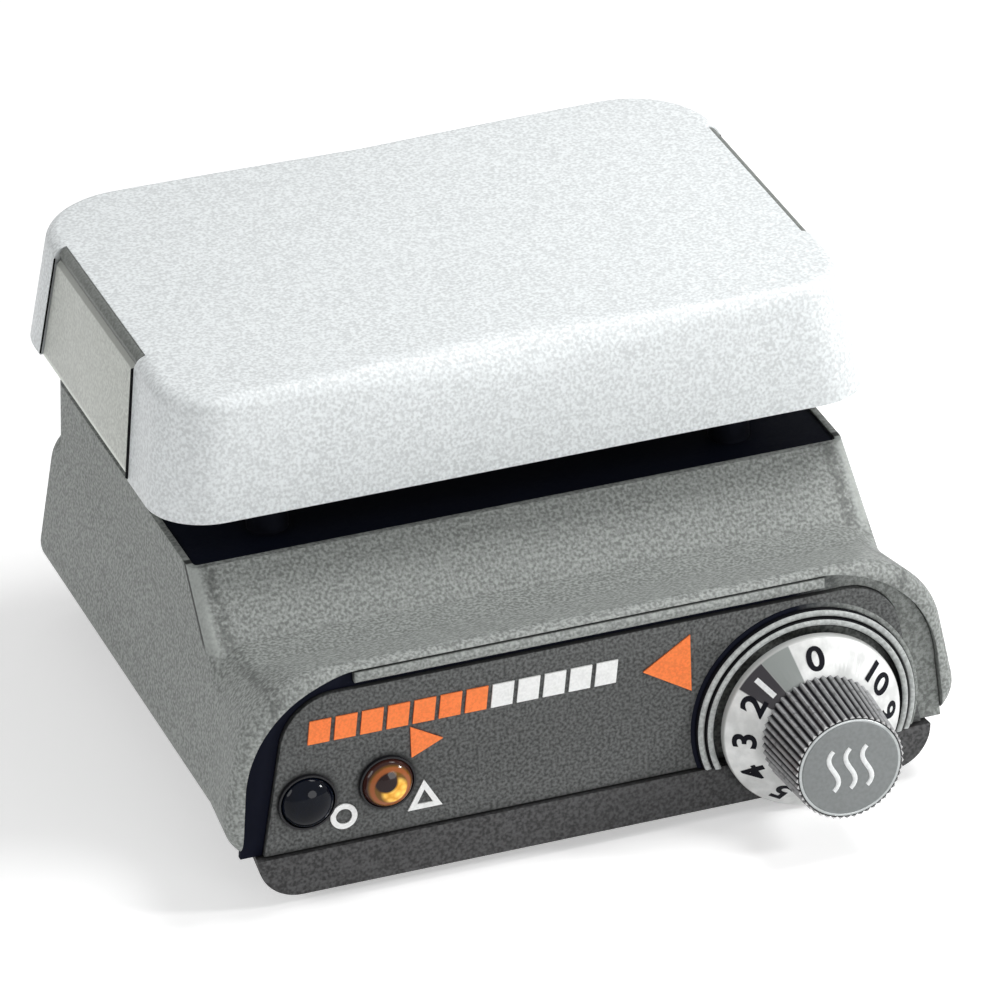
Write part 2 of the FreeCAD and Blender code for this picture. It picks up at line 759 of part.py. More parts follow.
def cut_out(side, gap, inner_x):
    """The wedge that a cut-out removes from one side wall of the cover."""
    front = COVER_FRONT + size("cut_front") + gap
    back = COVER_BACK - size("cut_back") - gap
    flare = size("cut_flare")
    wedge = Part.makePolygon([Vector(0, front, size("cover_top")), Vector(0, back, size("cover_top")),
                              Vector(0, back + flare, COVER_BOTTOM), Vector(0, front - flare, COVER_BOTTOM),
                              Vector(0, front, size("cover_top"))])
    wedge.translate(Vector(side * inner_x, 0, 0))
    return Part.Face(wedge).extrude(Vector(side * (size("cover_half_width") - inner_x + 1.0), 0, 0))


def build_cover():
    outer = cover_block("cover_outer", 0.0)
    inner = cover_block("cover_inner", size("cover_sheet"))
    wedges = feature("cover_cut_outs", Part.makeCompound(
        [cut_out(side, 0.0, size("cut_edge")) for side in (-1, 1)]))
    node("top_cover", cut("top_cover", cut("cover_shell", outer, inner), wedges))


def build_end_panels():
    thick = size("end_sheet")
    half = size("cover_half_width") - size("end_inset")
    low = COVER_BOTTOM + 0.1
    shoulder = size("cover_top") - size("end_strip_drop")
    lean = size("cover_taper") * (shoulder - COVER_BOTTOM) / size("cover_height")
    under = COVER_UNDER - 3.0 * size("seat")
    ridge = size("cut_edge") + 0.4
    for side, name in ((-1, "end_panel_left"), (1, "end_panel_right")):
        path = [Vector(half - size("end_foot"), 0, low), Vector(half, 0, low),
                Vector(half - lean, 0, shoulder), Vector(ridge, 0, under),
                Vector(ridge - size("end_flap"), 0, under)]
        section = bent_strip([Vector(point.x, 0, point.z) for point in path][::-1], thick)
        section.translate(Vector(0, COVER_FRONT, 0))
        sheet_metal = section.extrude(Vector(0, size("cover_depth"), 0))
        sheet_metal = sheet_metal.common(cut_out(1, size("end_gap"), ridge - 2.0 * size("end_flap")))
        if side < 0:
            sheet_metal = sheet_metal.mirror(Vector(0, 0, 0), Vector(1, 0, 0))
        node(name, feature(name, sheet_metal))


def build_heating_pack():
    fit = size("fit")
    skin = size("pan_sheet")
    wall = size("pan_wall")
    lean = size("cover_taper") * (size("pan_lift") + wall) / size("cover_height")
    side_gap = size("cover_sheet") + lean + size("pan_air")
    half = size("cover_half_width") - side_gap
    front = COVER_FRONT + side_gap
    back = COVER_BACK - side_gap
    corner = size("cover_corner") - side_gap + 2.0
    rear = size("cover_back_corner") - side_gap + 2.0
    pan = slab(plan_outline(0.0, half, front, back, corner, rear), PAN_FLOOR, PAN_FLOOR + wall)
    pan = pan.cut(slab(plan_outline(0.0, half - skin, front + skin, back - skin, corner - skin, rear - skin),
                       PAN_FLOOR + skin, PAN_FLOOR + wall))
    wool_top = size("wool_top")
    gap = skin + 0.3
    wool = slab(plan_outline(0.0, half - gap, front + gap, back - gap, corner - gap, rear - gap),
                PAN_FLOOR + skin, wool_top)
    deck_inset = size("neck_wall") + size("deck_air")
    slope = math.tan(math.radians(size("neck_front_slope")))
    deck_front = RIM_Y - (size("neck_rim_height") - DECK_TOP) / slope + deck_inset
    deck = slab(plan_outline(0.0, size("neck_half_width") - deck_inset, deck_front, BACK_Y - deck_inset, 2.0,
                             size("neck_back_corner") - deck_inset), LEDGE_TOP, DECK_TOP)
    studs, spacers, nuts = [], [], []
    for number, (x, y) in enumerate(STUDS):
        hole = upright(x, y, size("stud_radius") + fit, LEDGE_TOP - size("tail_drop"), COVER_UNDER)
        pan, wool, deck = pan.cut(hole), wool.cut(hole), deck.cut(hole)
        place = (f"{'-' if x < 0 else ''}stud_x", f"cover_middle {'-' if y < COVER_Y else '+'} stud_y")
        studs.append(round_bar(f"stud_{number}", "up", (*place, "ledge_top - nut_height - stud_end"), "stud_radius",
                               "cover_under - ledge_top + nut_height + stud_end"))
        spacers.append(cut(f"spacer_{number}",
                           round_bar(f"spacer_body_{number}", "up", (*place, "deck_top"), "spacer_radius",
                                     "pan_floor - deck_top"),
                           round_bar(f"spacer_bore_{number}", "up", (*place, "deck_top - 1"), "stud_radius + fit",
                                     "pan_floor - deck_top + 2")))
        nuts.append(hexagon(x, y, size("nut_radius"), LEDGE_TOP - size("nut_height"), LEDGE_TOP,
                            size("stud_radius") + fit))
    for x, y in LEADS:
        hole = upright(x, y, size("element_radius") + size("tail_air"), LEDGE_TOP - size("tail_drop"), ELEMENT_Z)
        pan, wool, deck = pan.cut(hole), wool.cut(hole), deck.cut(hole)
    screws = []
    for number, (x, y) in enumerate(DECK_SCREWS):
        deck = deck.cut(upright(x, y, size("deck_screw_radius") + fit, LEDGE_TOP - 1.0, DECK_TOP + 1.0))
        head = round_bar(f"deck_screw_head_{number}", "up", (x, y, "deck_top"), "deck_screw_head",
                         "deck_screw_radius + 0.2")
        stem = round_bar(f"deck_screw_stem_{number}", "up", (x, y, "ledge_top - deck_screw_grip"),
                         "deck_screw_radius", "deck_screw_grip + deck_thickness")
        screws.append(fused(f"deck_screw_{number}", [head, stem]))
    clamps = []
    for number, side in enumerate(("-", "")):
        clamp = doc.addObject("Part::Box", f"clamp_{number}")
        bind(clamp, Length="clamp_width", Width="3 * element_pitch + 2 * clamp_overlap",
             Height="clamp_thickness", Placement__Base__x=f"{side}element_run / 2 - clamp_width / 2",
             Placement__Base__y="cover_middle - 1.5 * element_pitch - clamp_overlap",
             Placement__Base__z="wool_top")
        clamps.append(clamp)
    node("element_pan", feature("element_pan", pan))
    node("insulation_block", feature("insulation_block", wool))
    node("deck_plate", feature("deck_plate", deck))
    node("element_clamps", grouped("element_clamps", clamps))
    node("cover_studs", grouped("cover_studs", studs))
    node("deck_spacers", grouped("deck_spacers", spacers))
    node("stud_nuts", feature("stud_nuts", Part.makeCompound(nuts)))
    node("deck_screws", grouped("deck_screws", screws))


def build_heating_element():
    pitch = size("element_pitch")
    run = size("element_run")
    rows = [COVER_Y + (k - 1.5) * pitch for k in range(4)]
    low = LEDGE_TOP - size("tail_drop")
    points = [Vector(LEAD_X, rows[0], low), Vector(LEAD_X, rows[0], ELEMENT_Z)]
    for number, y in enumerate(rows[:-1]):
        end = -run if number % 2 == 0 else run - size("pan_lift") - size("element_radius")
        points += [Vector(end, y, ELEMENT_Z), Vector(end, rows[number + 1], ELEMENT_Z)]
    points += [Vector(LEAD_X, rows[3], ELEMENT_Z), Vector(LEAD_X, rows[3], low)]
    bend = pitch / 2 - 0.05
    knee = size("element_bend")
    radii = [0, knee] + [bend] * (len(points) - 4) + [knee, 0]
    path = rounded(points, radii, closed=False)
    ring = Part.Wire(Part.makeCircle(size("element_radius"), points[0], Vector(0, 0, 1)))
    node("heating_element", feature("heating_element", path.makePipeShell([ring], True, True)))


# Control panel, trims and printed marks

def build_control_panel():
    fit = size("fit")
    seam = size("seam_height")
    foot = seam + 2 * fit
    outline = front_outline(PANEL_FRONT, size("panel_half_width"), size("panel_top"),
                            size("panel_corner"), foot, 0.0)
    panel = across(outline, size("panel_sheet"))
    panel = panel.cut(along_front(size("dial_x"), size("dial_height"), size("bezel_bore"),
                                  WALL_Y + 1.0, FACE_Y))
    for _, x, z, radius in LAMPS:
        panel = panel.cut(along_front(size(x), size(z), size(radius) + fit, WALL_Y + 1.0, FACE_Y))
    node("control_panel", feature("control_panel", panel))
    back = WALL_Y - size("gasket_thickness")
    seat = size("seat")
    rim = front_outline(back, size("hood_half_width") - size("hood_edge_side") - seat,
                        size("recess_top") - seat, size("recess_corner"), foot, 0.0, lean_name="recess_lean")
    hole = front_outline(back, size("panel_half_width") + seat, size("panel_top") + seat,
                         size("panel_corner"), foot, 0.0)
    gasket = across(rim, size("gasket_thickness")).cut(across(hole, size("gasket_thickness")))
    # a notch for the bead above the panel
    notch = size("bead_half_width") + seat
    gasket = gasket.cut(Part.makeBox(2 * notch, size("gasket_thickness") + 2.0, size("bead_height") + seat,
                                     Vector(-notch, back - 1.0, size("recess_top") - size("bead_height") - seat)))
    node("panel_gasket", feature("panel_gasket", gasket))


def build_bezels():
    x, z = size("dial_x"), size("dial_height")
    outer = size("bezel_radius")
    step = (outer + size("bezel_bore")) / 2.0
    front = FACE_Y - size("bezel_front")
    ring = along_front(x, z, outer, PANEL_FRONT, FACE_Y - size("bezel_front") / 3.0)
    ring = ring.fuse(along_front(x, z, step, PANEL_FRONT, front))
    ring = ring.cut(along_front(x, z, size("bezel_bore"), PANEL_FRONT + 1.0, front - 1.0))
    low = size("seam_height") + 2 * size("fit")
    keep = Part.makeBox(2 * outer, WALL_Y - front, 2 * outer, Vector(x - outer, front, low))
    node("dial_bezel", feature("dial_bezel", ring.common(keep).removeSplitter()))
    rings = []
    for _, lamp_x, lamp_z, radius in LAMPS:
        place = (size(lamp_x), size(lamp_z))
        ring = along_front(*place, size(radius) + size("lamp_rim"), PANEL_FRONT, FACE_Y)
        rings.append(ring.cut(along_front(*place, size(radius) + size("fit"), WALL_Y, FACE_Y - 1.0)))
    node("lamp_bezels", feature("lamp_bezels", Part.makeCompound(rings)))


def build_marks():
    """The printed marks, as thin layers on the panel: plain bars, two pointers and two plain symbols."""
    thick = size("mark_thickness")
    y = PANEL_FRONT - thick

    def layer(points):
        wire = Part.makePolygon([Vector(x, y, z) for x, z in points + points[:1]])
        return Part.Face(wire).extrude(Vector(0, thick, 0))

    # the dial's pointer, beside the bezel and level with the dial's upper part
    tip = size("dial_x") - size("bezel_radius") - size("pointer_gap")
    tail = tip - size("pointer_width")
    middle = size("dial_height") + size("pointer_lift")
    orange = [layer([(tail, middle), (tip, middle - size("pointer_height") / 2),
                     (tip, middle + size("pointer_height") / 2)])]
    # twelve slanted bars between the panel's left edge and the pointer: seven orange, five white
    low = size("panel_top") - size("mark_drop") - size("mark_height")
    start = size("mark_left") - size("panel_half_width")
    gap = size("mark_gap")
    pitch = (tail - 5 * gap - start) / 12
    bars = []
    for k in range(12):
        left, right = start + k * pitch, start + (k + 1) * pitch - gap
        slant = size("mark_slant")
        bars.append(layer([(left, low), (right, low), (right + slant, low + size("mark_height")),
                           (left + slant, low + size("mark_height"))]))
    orange += bars[:7]
    # the amber lamp's pointer
    x, z = size("amber_x") + size("amber_radius"), size("amber_height") + 4.0
    orange.append(layer([(x, z), (x + 6.2, z + 2.8), (x, z + 6.4)]))
    ring_x, ring_z = size("dark_x") + 6.9, size("dark_height") - 4.7
    reach = size("symbol_radius")
    ring = along_front(ring_x, ring_z, reach, PANEL_FRONT, y)
    ring = ring.cut(along_front(ring_x, ring_z, reach * 0.6, PANEL_FRONT, y))
    sign_x, sign_z = size("amber_x") + 7.1, size("amber_height") - 4.5
    sign = layer([(sign_x - reach * 1.3, sign_z - reach), (sign_x + reach * 1.3, sign_z - reach),
                  (sign_x, sign_z + reach * 1.3)])
    sign = sign.cut(layer([(sign_x - reach * 0.6, sign_z - reach * 0.6), (sign_x + reach * 0.6, sign_z - reach * 0.6),
                           (sign_x, sign_z + reach * 0.5)]))
    node("orange_marks", feature("orange_marks", Part.makeCompound(orange)))
    node("white_marks", feature("white_marks", Part.makeCompound(bars[7:] + [ring, sign])))


def build_lamps():
    for name, x_name, z_name, radius_name in LAMPS:
        x, z, radius = size(x_name), size(z_name), size(radius_name)
        front = FACE_Y - size("lens_front")
        lens = along_front(x, z, radius, WALL_Y, front)
        rim = [edge for edge in lens.Edges if abs(edge.BoundBox.YMax - front) < 0.01
               and abs(edge.BoundBox.YMin - front) < 0.01]
        lens = lens.makeFillet(size("lens_round"), rim)
        back = WALL_Y + size("lamp_length")
        barrel = along_front(x, z, size("lamp_barrel"), back, WALL_Y)
        thin = size("tab_thickness")
        tabs = [Part.makeBox(thin, size("lamp_tab_length"), size("lamp_tab_width"),
                             Vector(x + side * size("lamp_tab_spread") - thin / 2, back,
                                    z - size("lamp_tab_width") / 2)) for side in (-1, 1)]
        node(f"{name}_lens", feature(f"{name}_lens", lens))
        node(f"{name}_lamp", feature(f"{name}_lamp", barrel.fuse(tabs[0]).fuse(tabs[1]).removeSplitter()))


# Heat knob and its control

def turned(name, profile, base_y):
    """A turned piece on the knob's axis: a sketch of radius against distance to the front, revolved."""
    body = doc.addObject("PartDesign::Body", name)
    sketch = body.newObject("Sketcher::SketchObject", f"{name}_profile")
    plane = [item for item in body.Origin.OriginFeatures if item.Role == "XY_Plane"][0]
    sketch.AttachmentSupport = [(plane, "")]
    sketch.MapMode = "FlatFace"
    amounts = [(doc_value(radius), doc_value(front)) for radius, front in profile]
    points = [Vector(radius, front, 0) for radius, front in amounts]
    for begin, end in zip(points, points[1:] + points[:1]):
        sketch.addGeometry(Part.LineSegment(begin, end), False)
    for line in range(len(points)):
        following = (line + 1) % len(points)
        sketch.addConstraint(Sketcher.Constraint("Coincident", line, 2, following, 1))
    for line, (radius, front) in enumerate(profile):
        for kind, expression, amount in (("DistanceX", radius, amounts[line][0]),
                                         ("DistanceY", front, amounts[line][1])):
            number = sketch.addConstraint(Sketcher.Constraint(kind, -1, 1, line, 1, amount))
            if expression != "0":
                sketch.setExpression(f"Constraints[{number}]", bound(expression))
    turn = body.newObject("PartDesign::Revolution", f"{name}_turn")
    turn.Profile = sketch
    turn.ReferenceAxis = (sketch, ["V_Axis"])
    turn.Angle = 360.0
    body.Tip = turn
    body.Placement = FreeCAD.Placement(Vector(0, 0, 0), FreeCAD.Rotation(Vector(0, 0, 1), 180))
    bind(body, Placement__Base__x="dial_x", Placement__Base__y=base_y, Placement__Base__z="dial_height")
    return body


def doc_value(expression):
    """The number that an expression has now."""
    probe = doc.addObject("App::FeaturePython", "probe")
    probe.addProperty("App::PropertyFloat", "amount")
    bind(probe, amount=expression)
    doc.recompute()
    amount = probe.amount
    doc.removeObject(probe.Name)
    return amount


def build_knob():
    # graduated disc: a shallow cone with a thin rim, hollow behind, and a hub on the shaft
    disc = [("shaft_radius + fit", "0"), ("shaft_hub", "0"),
            ("shaft_hub", "dial_face_front + dial_rise - dial_plate"),
            ("grip_radius - 1", "dial_face_front + dial_rise - dial_plate"),
            ("dial_radius - 1", "dial_face_front - dial_rim"), ("dial_radius", "dial_face_front - dial_rim"),
            ("dial_radius", "dial_face_front"), ("grip_radius + 0.2", "dial_face_front + dial_rise"),
            ("shaft_radius + fit", "dial_face_front + dial_rise")]
    node("knob_dial", turned("knob_dial", disc, "face_plane"))
    # fluted grip on the disc, tapering to the front
    base_y = FACE_Y - size("dial_face_front") - size("dial_rise")
    tip_y = base_y - size("grip_length")
    count = int(size("flute_count"))

    def fluted(y, radius):
        points = []
        for k in range(2 * count):
            angle = math.pi * k / count
            reach = radius if k % 2 else radius - size("flute_depth")
            points.append(Vector(size("dial_x") + reach * math.cos(angle), y,
                                 size("dial_height") + reach * math.sin(angle)))
        return Part.makePolygon(points + points[:1])

    grip = Part.makeLoft([fluted(base_y, size("grip_radius")), fluted(tip_y, size("grip_tip_radius"))],
                         True, True)
    x, z = size("dial_x"), size("dial_height")
    grip = grip.cut(along_front(x, z, size("shaft_radius") + size("fit"), base_y,
                                base_y - size("shaft_grip") - 0.2))
    grip = grip.cut(along_front(x, z, size("cap_radius") + size("fit"),
                                tip_y + size("cap_thickness") - size("cap_stand"), tip_y - 1.0))
    node("knob_grip", feature("knob_grip", grip))
    cap = [("0", "0"), ("cap_radius", "0"), ("cap_radius", "cap_thickness - cap_edge"),
           ("cap_radius - cap_edge", "cap_thickness"), ("0", "cap_thickness")]
    node("knob_cap", turned("knob_cap", cap, "face_plane - dial_face_front - dial_rise - grip_length"
                                             " + cap_thickness - cap_stand"))
    shaft = round_bar("control_shaft", "front", ("dial_x", "inner_plane + shaft_behind", "dial_height"),
                      "shaft_radius", "shaft_behind + panel_recess + housing_wall + dial_face_front"
                                      " + dial_rise + shaft_grip")
    node("control_shaft", shaft)


def build_heat_control():
    x, z = size("dial_x"), size("dial_height")
    low = size("seam_height") + size("control_lift")
    bore = along_front(x, z, size("shaft_radius") + size("shaft_play"),
                       INNER_Y + size("shaft_behind") + 0.2, FACE_Y - 5.0)
    case = Part.makeBox(size("control_width"), size("control_depth"), size("control_height"),
                        Vector(x - size("control_width") / 2, INNER_Y, low))
    thread = along_front(x, z, size("bushing_radius"), INNER_Y, PANEL_FRONT + 0.4)
    control = case.fuse(thread).cut(bore)
    node("heat_control", feature("heat_control", control.removeSplitter()))
    tall = size("bushing_nut_height")
    reach = size("bushing_nut_radius")
    nut = Part.Face(Part.makePolygon([
        Vector(x + reach * math.cos(math.radians(60 * k)), WALL_Y - tall,
               z + reach * math.sin(math.radians(60 * k))) for k in range(7)]))
    nut = nut.extrude(Vector(0, tall, 0)).cut(along_front(x, z, size("bushing_radius") + size("fit"),
                                                          WALL_Y + 1.0, FACE_Y))
    node("control_nut", feature("control_nut", nut))
    tabs = []
    for number, side in enumerate(("-", "+")):
        tab = doc.addObject("Part::Box", f"control_tab_{number}")
        bind(tab, Length="tab_thickness", Width="tab_length", Height="tab_width",
             Placement__Base__x=f"dial_x {side} tab_spread - tab_thickness / 2",
             Placement__Base__y="inner_plane + control_depth",
             Placement__Base__z="seam_height + control_lift + tab_spread")
        tabs.append(tab)
    node("control_tabs", grouped("control_tabs", tabs))


# Power inlet and inner electrics

def build_inlet():
    x, z = size("inlet_x"), size("inlet_height")
    flange_back = BACK_Y + size("inlet_flange")
    screw = size("inlet_screw_radius")

    def block(wide, tall, front, back):
        return Part.makeBox(wide, back - front, tall, Vector(x - wide / 2, front, z - tall / 2))

    body = block(size("inlet_flange_width"), size("inlet_flange_tall"), BACK_Y, flange_back)
    body = body.fuse(block(size("inlet_width"), size("inlet_tall"), flange_back - size("inlet_depth"), BACK_Y))
    floor = flange_back - size("socket_depth")
    body = body.cut(block(size("socket_width"), size("socket_tall"), floor, flange_back + 1.0))
    pins = []
    wide, tall, seat = size("pin_width"), size("pin_tall"), size("seat")
    start = flange_back - size("inlet_depth") - size("pin_tail")
    length = floor + size("pin_length") - start
    for dx, dz in ((-size("pin_spread"), -size("pin_drop")), (size("pin_spread"), -size("pin_drop")),
                   (0.0, size("pin_rise"))):
        low = Vector(x + dx - wide / 2, start, z + dz - tall / 2)
        slot = Part.makeBox(wide + 2 * seat, length, tall + 2 * seat, low - Vector(seat, 0, seat))
        body = body.cut(slot)
        pins.append(Part.makeBox(wide, length, tall, low))
    screws = []
    for side in (-1, 1):
        place = x + side * size("inlet_screw_pitch") / 2.0
        body = body.cut(along_front(place, z, screw + size("fit"), flange_back + 1.0, BACK_Y - 1.0))
        head = along_front(place, z, size("inlet_screw_head"), flange_back + screw, flange_back)
        screws.append(head.fuse(along_front(place, z, screw, flange_back,
                                            BACK_Y - size("housing_wall") - 4.0)))
    node("power_inlet", feature("power_inlet", body.removeSplitter()))
    node("inlet_pins", feature("inlet_pins", Part.makeCompound(pins)))
    node("inlet_screws", feature("inlet_screws", Part.makeCompound(screws)))


def build_electrics():
    floor = size("pan_bottom") + size("base_wall")
    wide, deep, tall = size("block_width"), size("block_depth"), size("block_tall")
    x0 = size("block_x") - wide / 2
    y0 = BACK_Y - size("block_ahead") - deep / 2
    radius = size("inlet_screw_radius")
    block = Part.makeBox(wide, deep, tall, Vector(x0, y0, floor))
    screws = []
    for k in range(4):
        x = x0 + wide * (k + 0.5) / 4
        y = y0 + deep / 2
        block = block.cut(upright(x, y, radius + size("fit"), floor + tall / 3, floor + tall + 1.0))
        screws.append(upright(x, y, radius, floor + tall / 3, floor + tall).fuse(
            upright(x, y, size("block_screw_head"), floor + tall, floor + tall + 1.2)))
    node("terminal_block", feature("terminal_block", block))
    node("terminal_screws", feature("terminal_screws", Part.makeCompound(screws)))
    stud_x, stud_y = x0 + wide + size("ground_aside"), y0 + deep + size("ground_behind")
    node("ground_stud", round_bar("ground_stud", "up", (stud_x, stud_y, "pan_bottom + base_wall"), "stud_radius",
                                  "ground_length"))
    node("ground_nut", feature("ground_nut", hexagon(
        stud_x, stud_y, size("ground_nut_radius"), floor, floor + size("nut_height"),
        size("stud_radius") + size("fit"))))
    # inner leads: inlet to block, block to control, control to element
    level = floor + tall / 2
    bend = size("lead_bend")
    turn = size("lead_turn")
    tab_y = BACK_Y + size("inlet_flange") - size("inlet_depth") - size("pin_tail")
    tab_z = size("inlet_height") - size("pin_drop")
    left = size("inlet_x") - size("pin_spread")
    right = size("inlet_x") + size("pin_spread")
    ahead = y0 - turn
    tab_end = INNER_Y + size("control_depth") + size("tab_length")
    knee = tab_end + turn / 3
    tab_high = size("seam_height") + size("control_lift") + size("tab_spread") + size("tab_width") / 2
    tab_left = size("dial_x") - size("tab_spread")
    tab_right = size("dial_x") + size("tab_spread")
    tail_x, tail_y = LEADS[0]
    routes = [
        [Vector(left, tab_y, tab_z), Vector(left, tab_y - turn, tab_z), Vector(left, tab_y - turn, level),
         Vector(x0, tab_y - turn, level)],
        [Vector(right, tab_y, tab_z), Vector(right, ahead, tab_z), Vector(right, ahead, level),
         Vector(x0 + wide / 4, ahead, level), Vector(x0 + wide / 4, y0, level)],
        [Vector(x0 + wide, y0 + deep / 2, level), Vector(tab_left, y0 + deep / 2, level),
         Vector(tab_left, knee, level), Vector(tab_left, knee, tab_high), Vector(tab_left, tab_end, tab_high)],
        [Vector(tail_x, tail_y, LEDGE_TOP - size("tail_drop")), Vector(tail_x, tail_y, tab_high),
         Vector(tab_right, tail_y - turn / 3, tab_high), Vector(tab_right, tab_end, tab_high)],
    ]
    leads = [tube(points, size("lead_radius"), bend) for points in routes]
    node("inner_leads", feature("inner_leads", Part.makeCompound(leads)))


BUILDERS = [build_upper_housing, build_base_pan, build_feet, build_cover, build_end_panels, build_heating_pack,
            build_heating_element, build_control_panel, build_bezels, build_marks, build_lamps, build_knob,
            build_heat_control, build_inlet, build_electrics]
for build in BUILDERS:
    build()
doc.recompute()

for thing in doc.Objects:
    if {"Invalid", "Error"} & set(thing.State):
        raise RuntimeError(f"{thing.Label} did not build: {thing.State}")
for name, thing in NODES:
    if thing.Shape.isNull() or not thing.Shape.isValid():
        raise RuntimeError(f"{name} has no valid shape")
for name, thing in NODES:
    thing.Shape.exportStep(f"parts/{name}.step")
    bounds = thing.Shape.optimalBoundingBox()
    print(f"{name}: {len(thing.Shape.Solids)} solids, {thing.Shape.Volume:.0f} mm3,"
          f" x {bounds.XMin:.2f} {bounds.XMax:.2f} y {bounds.YMin:.2f} {bounds.YMax:.2f}"
          f" z {bounds.ZMin:.2f} {bounds.ZMax:.2f}")
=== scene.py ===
"""Looks of a compact laboratory hot plate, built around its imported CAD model."""

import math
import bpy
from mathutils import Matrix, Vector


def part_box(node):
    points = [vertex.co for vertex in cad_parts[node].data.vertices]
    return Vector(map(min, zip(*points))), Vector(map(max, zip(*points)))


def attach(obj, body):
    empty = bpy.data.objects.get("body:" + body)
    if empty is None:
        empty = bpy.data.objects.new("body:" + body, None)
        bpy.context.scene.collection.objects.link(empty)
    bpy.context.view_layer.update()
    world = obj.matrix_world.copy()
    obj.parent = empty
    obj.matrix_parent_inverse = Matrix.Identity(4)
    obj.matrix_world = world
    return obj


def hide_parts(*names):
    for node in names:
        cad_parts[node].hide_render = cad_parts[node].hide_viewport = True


bl_info = {
    "name": "Laboratory Hot Plate",
    "version": (1, 0, 0),
    "blender": (4, 5, 0),
    "location": "View3D > Sidebar > Hot Plate",
    "description": "Dresses the hot plate: castings, cover, dial, lamps, printed marks, finishes and stage",
    "category": "Object",
}

import bpy
from mathutils import Matrix, Vector

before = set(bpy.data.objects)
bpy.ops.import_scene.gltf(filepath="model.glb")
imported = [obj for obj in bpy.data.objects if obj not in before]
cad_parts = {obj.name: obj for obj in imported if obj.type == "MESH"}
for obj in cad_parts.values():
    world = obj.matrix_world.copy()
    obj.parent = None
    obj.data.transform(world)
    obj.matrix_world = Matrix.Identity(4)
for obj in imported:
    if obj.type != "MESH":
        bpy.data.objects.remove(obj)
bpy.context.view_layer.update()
ROOT_BODY = "hot_plate"
KNOB_BODY = "knob"
MM = 0.001

# The knob's axis and the planes along it, read from the frame.
DIAL_LOW, DIAL_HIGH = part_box("knob_dial")
GRIP_LOW, GRIP_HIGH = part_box("knob_grip")
CAP_LOW, CAP_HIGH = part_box("knob_cap")
PANEL_LOW, PANEL_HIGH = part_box("control_panel")
DIAL_CENTRE = (DIAL_LOW + DIAL_HIGH) / 2
DIAL_RADIUS = (DIAL_HIGH.x - DIAL_LOW.x) / 2
GRIP_RADIUS = (GRIP_HIGH.x - GRIP_LOW.x) / 2
CAP_RADIUS = (CAP_HIGH.x - CAP_LOW.x) / 2
CAP_CENTRE = (CAP_LOW + CAP_HIGH) / 2
GRIP_TAPER = 0.9 * MM
COVER_LOW, COVER_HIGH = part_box("top_cover")
END_LOW, END_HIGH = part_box("end_panel_right")
NECK_RIM = Vector((65.0, -17.1, 52.5)) * MM
HOOD_CREASE_Y = -40.0 * MM
DIAL_FACE_RISE = 4.0 * MM
DIAL_INNER = GRIP_RADIUS + 0.2 * MM
DIAL_RIM_Y = DIAL_LOW.y + DIAL_FACE_RISE

# The first figure stands in the middle of the dial's dark sector of painted shade, and the others a step
# apart.
FIGURE_ZERO = math.radians(90.0)
FIGURE_ONE = math.radians(134.0)
# Sectors of painted shade on the disc: first and last angle in degrees, and colour
SHADE_SECTOR = (105.0, 124.5, (0.24, 0.26, 0.25, 1.0))
DEEP_SHADE_SECTOR = (124.5, 145.5, (0.020, 0.017, 0.022, 1.0))

# The strip along each end sheet's top, in X and Z, dark as painted shade; each dark cord of painted shadow
# in the gap
# beside the sheet: its place, its top and foot behind the cover's front, and its radius. All in millimetres.
STRIP_OUTLINE = ((65.05, 85.0), (65.05, 87.06), (65.6, 86.95), (66.2, 86.6), (66.65, 86.0), (66.45, 84.55))
STRIP_FRONT, STRIP_REAR = 26.3, 24.7
GAP_SHADOWS = (("front", 26.15, 23.15, 0.46), ("rear", 75.45, 78.45, 0.18))
GAP_SHADOW_TOP = (67.5, 84.9)
GAP_SHADOW_FOOT = (70.7, 64.0)

# Area lamps: name, place, target, size and power
LAMPS = (
    ("right_lamp", (0.80, -0.45, 0.45), (0, 0, 0.05), 0.16, 4.3),
    ("front_lamp", (0.25, -0.90, 0.18), (0, 0, 0.04), 0.4, 2.0),
    ("left_lamp", (-0.95, -0.15, 0.50), (0, 0, 0.04), 0.5, 2.9),
    ("top_lamp", (0.25, 0.0, 0.55), (0.03, 0, 0.07), 0.25, 1.95),
)

# How far the view's middle lies beside and above the frame's origin, and its offset in depth, in metres.
VIEW_SHIFT = (-1.70387 * MM, -37.72037 * MM)
VIEW_ORIGIN_Y = 4.6 * MM


# Sizes and colours that a user may change


class HotPlateColours(bpy.types.PropertyGroup):
    cover: bpy.props.FloatVectorProperty(
        name="Cover enamel", description="Colour of the pressed cover", subtype="COLOR", size=3,
        default=(0.70, 0.73, 0.738), min=0.0, max=1.0)
    end_panel: bpy.props.FloatVectorProperty(
        name="End panels", description="Colour of the bare end panels", subtype="COLOR", size=3,
        default=(0.57, 0.59, 0.55), min=0.0, max=1.0)
    casting: bpy.props.FloatVectorProperty(
        name="Housing paint", description="Colour of the housing's textured paint", subtype="COLOR", size=3,
        default=(0.243, 0.257, 0.246), min=0.0, max=1.0)
    panel: bpy.props.FloatVectorProperty(
        name="Control panel", description="Colour of the control panel", subtype="COLOR", size=3,
        default=(0.078, 0.081, 0.080), min=0.0, max=1.0)
    base: bpy.props.FloatVectorProperty(
        name="Base pan", description="Colour of the moulded base pan", subtype="COLOR", size=3,
        default=(0.050, 0.050, 0.051), min=0.0, max=1.0)
    marks: bpy.props.FloatVectorProperty(
        name="Orange print", description="Colour of the pointers and orange bars", subtype="COLOR", size=3,
        default=(0.90, 0.205, 0.050), min=0.0, max=1.0)
    amber: bpy.props.FloatVectorProperty(
        name="Amber lens", description="Colour of the lit indicator lens", subtype="COLOR", size=3,
        default=(0.80, 0.36, 0.03), min=0.0, max=1.0)


